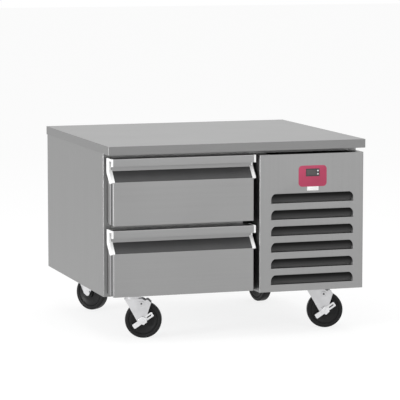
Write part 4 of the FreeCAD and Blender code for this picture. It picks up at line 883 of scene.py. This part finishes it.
def disc(bm, radius, low, high, segments, swell=0.0, rim=0.8):
    """A prism between two heights, in millimetres; swell waves its rim into lobes."""
    made = bmesh.ops.create_cone(
        bm,
        cap_ends=True,
        segments=segments,
        radius1=radius * MM,
        radius2=radius * MM,
        depth=(high - low) * MM,
        matrix=Matrix.Translation((0, 0, (low + high) / 2 * MM)),
    )
    for vert in made["verts"]:
        angle = math.atan2(vert.co.y, vert.co.x)
        grown = 1 + swell * math.cos(LOBES * angle)
        vert.co.x *= grown
        vert.co.y *= grown
    own = set(made["verts"])
    rims = [
        edge
        for edge in bm.edges
        if edge.verts[0] in own and abs(edge.verts[0].co.z - edge.verts[1].co.z) < LEVEL
    ]
    bevelled(bm, rims, rim * MM, 3)


for spot in BRAKED_SPOTS:
    bm = bmesh.new()
    nut_low = -LEVER_OUTSIDE - NUT_HEIGHT
    disc(bm, BOLT_RADIUS, nut_low - BOLT_OUT, FORK_OUTSIDE + 1, segments=32)
    disc(bm, NUT_RADIUS, nut_low, -LEVER_OUTSIDE, segments=72, swell=LOBE_SWELL)
    head_radius = HEAD_ACROSS / math.sqrt(3)
    disc(bm, head_radius, FORK_OUTSIDE, FORK_OUTSIDE + HEAD_HEIGHT, segments=HEXAGON)
    bmesh.ops.recalc_face_normals(bm, faces=bm.faces)
    bmesh.ops.transform(bm, matrix=axle_place(spot), verts=bm.verts)
    node = f"caster_axle_{spot}"
    bolt = finished(f"brake_bolt_{spot}", bm, node, bright_zinc, [node])
print("bolt:", len(bolt.data.polygons), "faces")

# %% [markdown]
# ## Small plates on the cover
#
# The controller sits in a coloured plate with round corners, and has a dark pane beside its two keys.
# Under it sits a blank white plate. All three are thin slabs: a cube scaled to size, whose four edges
# through the thickness are bevelled first for the outline, and whose front rim is bevelled again to
# catch the light.


# %% Slabs
def slab(low, high, corner, rim):
    """A slab between two points, in millimetres, with rounded corners in the XZ plane."""
    bm = bmesh.new()
    bmesh.ops.create_cube(bm, size=1)
    size = [(end - start) * MM for start, end in zip(low, high)]
    middle = [(end + start) / 2 * MM for start, end in zip(low, high)]
    bmesh.ops.scale(bm, vec=size, verts=bm.verts)
    bmesh.ops.translate(bm, vec=middle, verts=bm.verts)
    through = [e for e in bm.edges if abs(e.verts[0].co.y - e.verts[1].co.y) > LEVEL]
    bevelled(bm, through, corner * MM, 5, clamp=False)
    front = min(v.co.y for v in bm.verts)
    rims = [e for e in bm.edges if all(abs(v.co.y - front) < LEVEL for v in e.verts)]
    bevelled(bm, rims, rim * MM, 2, clamp=False)
    bmesh.ops.recalc_face_normals(bm, faces=bm.faces)
    return bm


def on_the_front(node, outline, thickness, corner, rim):
    """A slab on a node's front face; outline is (left, low, right, high)."""
    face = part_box(node)[0][1] / MM
    left, low, right, high = outline
    return slab((left, face - thickness, low), (right, face, high), corner, rim)


blank = on_the_front("machine_cover", (248.9, 505, 291.1, 519.5), 0.5, corner=0.8, rim=0.15)
finished("blank_plate", blank, "temperature_controller", label_white)
low, high = [[place / MM for place in corner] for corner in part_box("control_plate")]
coloured = slab(low, high, corner=13.0, rim=0.3)
finished("coloured_plate", coloured, "control_plate", crimson, ["control_plate"])
pane_outline = (247.2, 558.5, 280.5, 577.0)
pane = on_the_front("temperature_controller", pane_outline, 0.35, corner=1.2, rim=0.15)
finished("display_pane", pane, "temperature_controller", pane_dark)
print("plates: blank, coloured, pane")

# %% [markdown]
# ## Bosses on the forks
#
# Near the top of each leg the fork has a round pressed boss with a hole, and a dark plug in the
# hole is painted shade. The boss is turned like the wheel, and it is laid on the outside of a leg by
# the fork's own directions: along the trail, from the king pin to the axle, and up.


# %% Fork bosses
BOSS_SECTION = [
    (0.5, -0.6),
    (9.6, -0.6),
    (9.6, 0.7),
    (8.9, 1.5),
    (3.9, 1.8),
    (3.5, 1.4),
    (0.5, 1.4),
]
# The dark plug in each boss's hole, as painted shade.
HOLE_SHADE_SECTION = [(0.3, 1.0), (3.1, 1.0), (3.1, 1.7), (2.2, 2.4), (0.3, 2.7)]
BOSS_ALONG = 30.5
BOSS_UP = 121.5
BOSS_STEPS = 32


def boss_place(spot, hand):
    """The turn and shift that lay the Z axis across a fork's leg, outwards, where its boss sits."""
    king = Vector(joint_named[f"swivel_{spot}"]["pos_m"])
    wheel = joint_named[f"wheel_spin_{spot}"]
    outwards = Vector(wheel["axis"]) * hand
    trail = Vector(wheel["pos_m"]) - king
    trail.z = 0
    place = king + trail.normalized() * BOSS_ALONG * MM + outwards * FORK_OUTSIDE * MM
    place.z = BOSS_UP * MM
    return Matrix.Translation(place) @ turned_up_to(outwards)


def on_both_legs(section, spot):
    """One bmesh with a turned shape on each leg of a fork."""
    both = bmesh.new()
    for hand in (-1, 1):
        one = turned(section, BOSS_STEPS)
        bmesh.ops.transform(one, matrix=boss_place(spot, hand), verts=one.verts)
        carrier = bpy.data.meshes.new("carrier")
        one.to_mesh(carrier)
        both.from_mesh(carrier)
        one.free()
        bpy.data.meshes.remove(carrier)
    return both


for spot in CASTER_SPOTS:
    fork = f"caster_fork_{spot}"
    finished(f"fork_boss_{spot}", on_both_legs(BOSS_SECTION, spot), fork, zinc)
    # The plug is dark as painted shade for the hole.
    finished(f"fork_hole_shade_{spot}", on_both_legs(HOLE_SHADE_SECTION, spot), fork, core_dark)
print("bosses:", len(CASTER_SPOTS) * 2)

# %% [markdown]
# ## Screws of the rear panel
#
# The rear panel comes off for service, so it is held by low hexagon screws with a washer face. One
# screw is a thin washer disc and a hexagon. They are made lying flat and turned to face the rear, and
# all of them are one piece, because none moves on its own.

# %% Rear screws
SCREW_COLUMNS = (-440, -220, 0, 220, 440)
SCREW_ROWS = (172, 636)
SCREW_SIDE_ROWS = (288, 404, 520)
WASHER_RADIUS = 5.8
SCREW_RADIUS = 4.2
rear_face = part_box("back_panel")[1][1]
places = [(x, z) for x in SCREW_COLUMNS for z in SCREW_ROWS]
places += [(x, z) for x in (SCREW_COLUMNS[0], SCREW_COLUMNS[-1]) for z in SCREW_SIDE_ROWS]

bm = bmesh.new()
face_back = Matrix.Rotation(math.radians(-90), 4, "X")
for x, z in places:
    before = set(bm.verts)
    disc(bm, WASHER_RADIUS, -0.3, 0.7, segments=24, rim=0.25)
    disc(bm, SCREW_RADIUS, 0.4, 2.7, segments=HEXAGON, rim=0.4)
    new = [v for v in bm.verts if v not in before]
    at = Matrix.Translation((x * MM, rear_face, z * MM)) @ face_back
    bmesh.ops.transform(bm, matrix=at, verts=new)
bmesh.ops.recalc_face_normals(bm, faces=bm.faces)
finished("rear_screws", bm, "back_panel", zinc)
print("screws:", len(places))
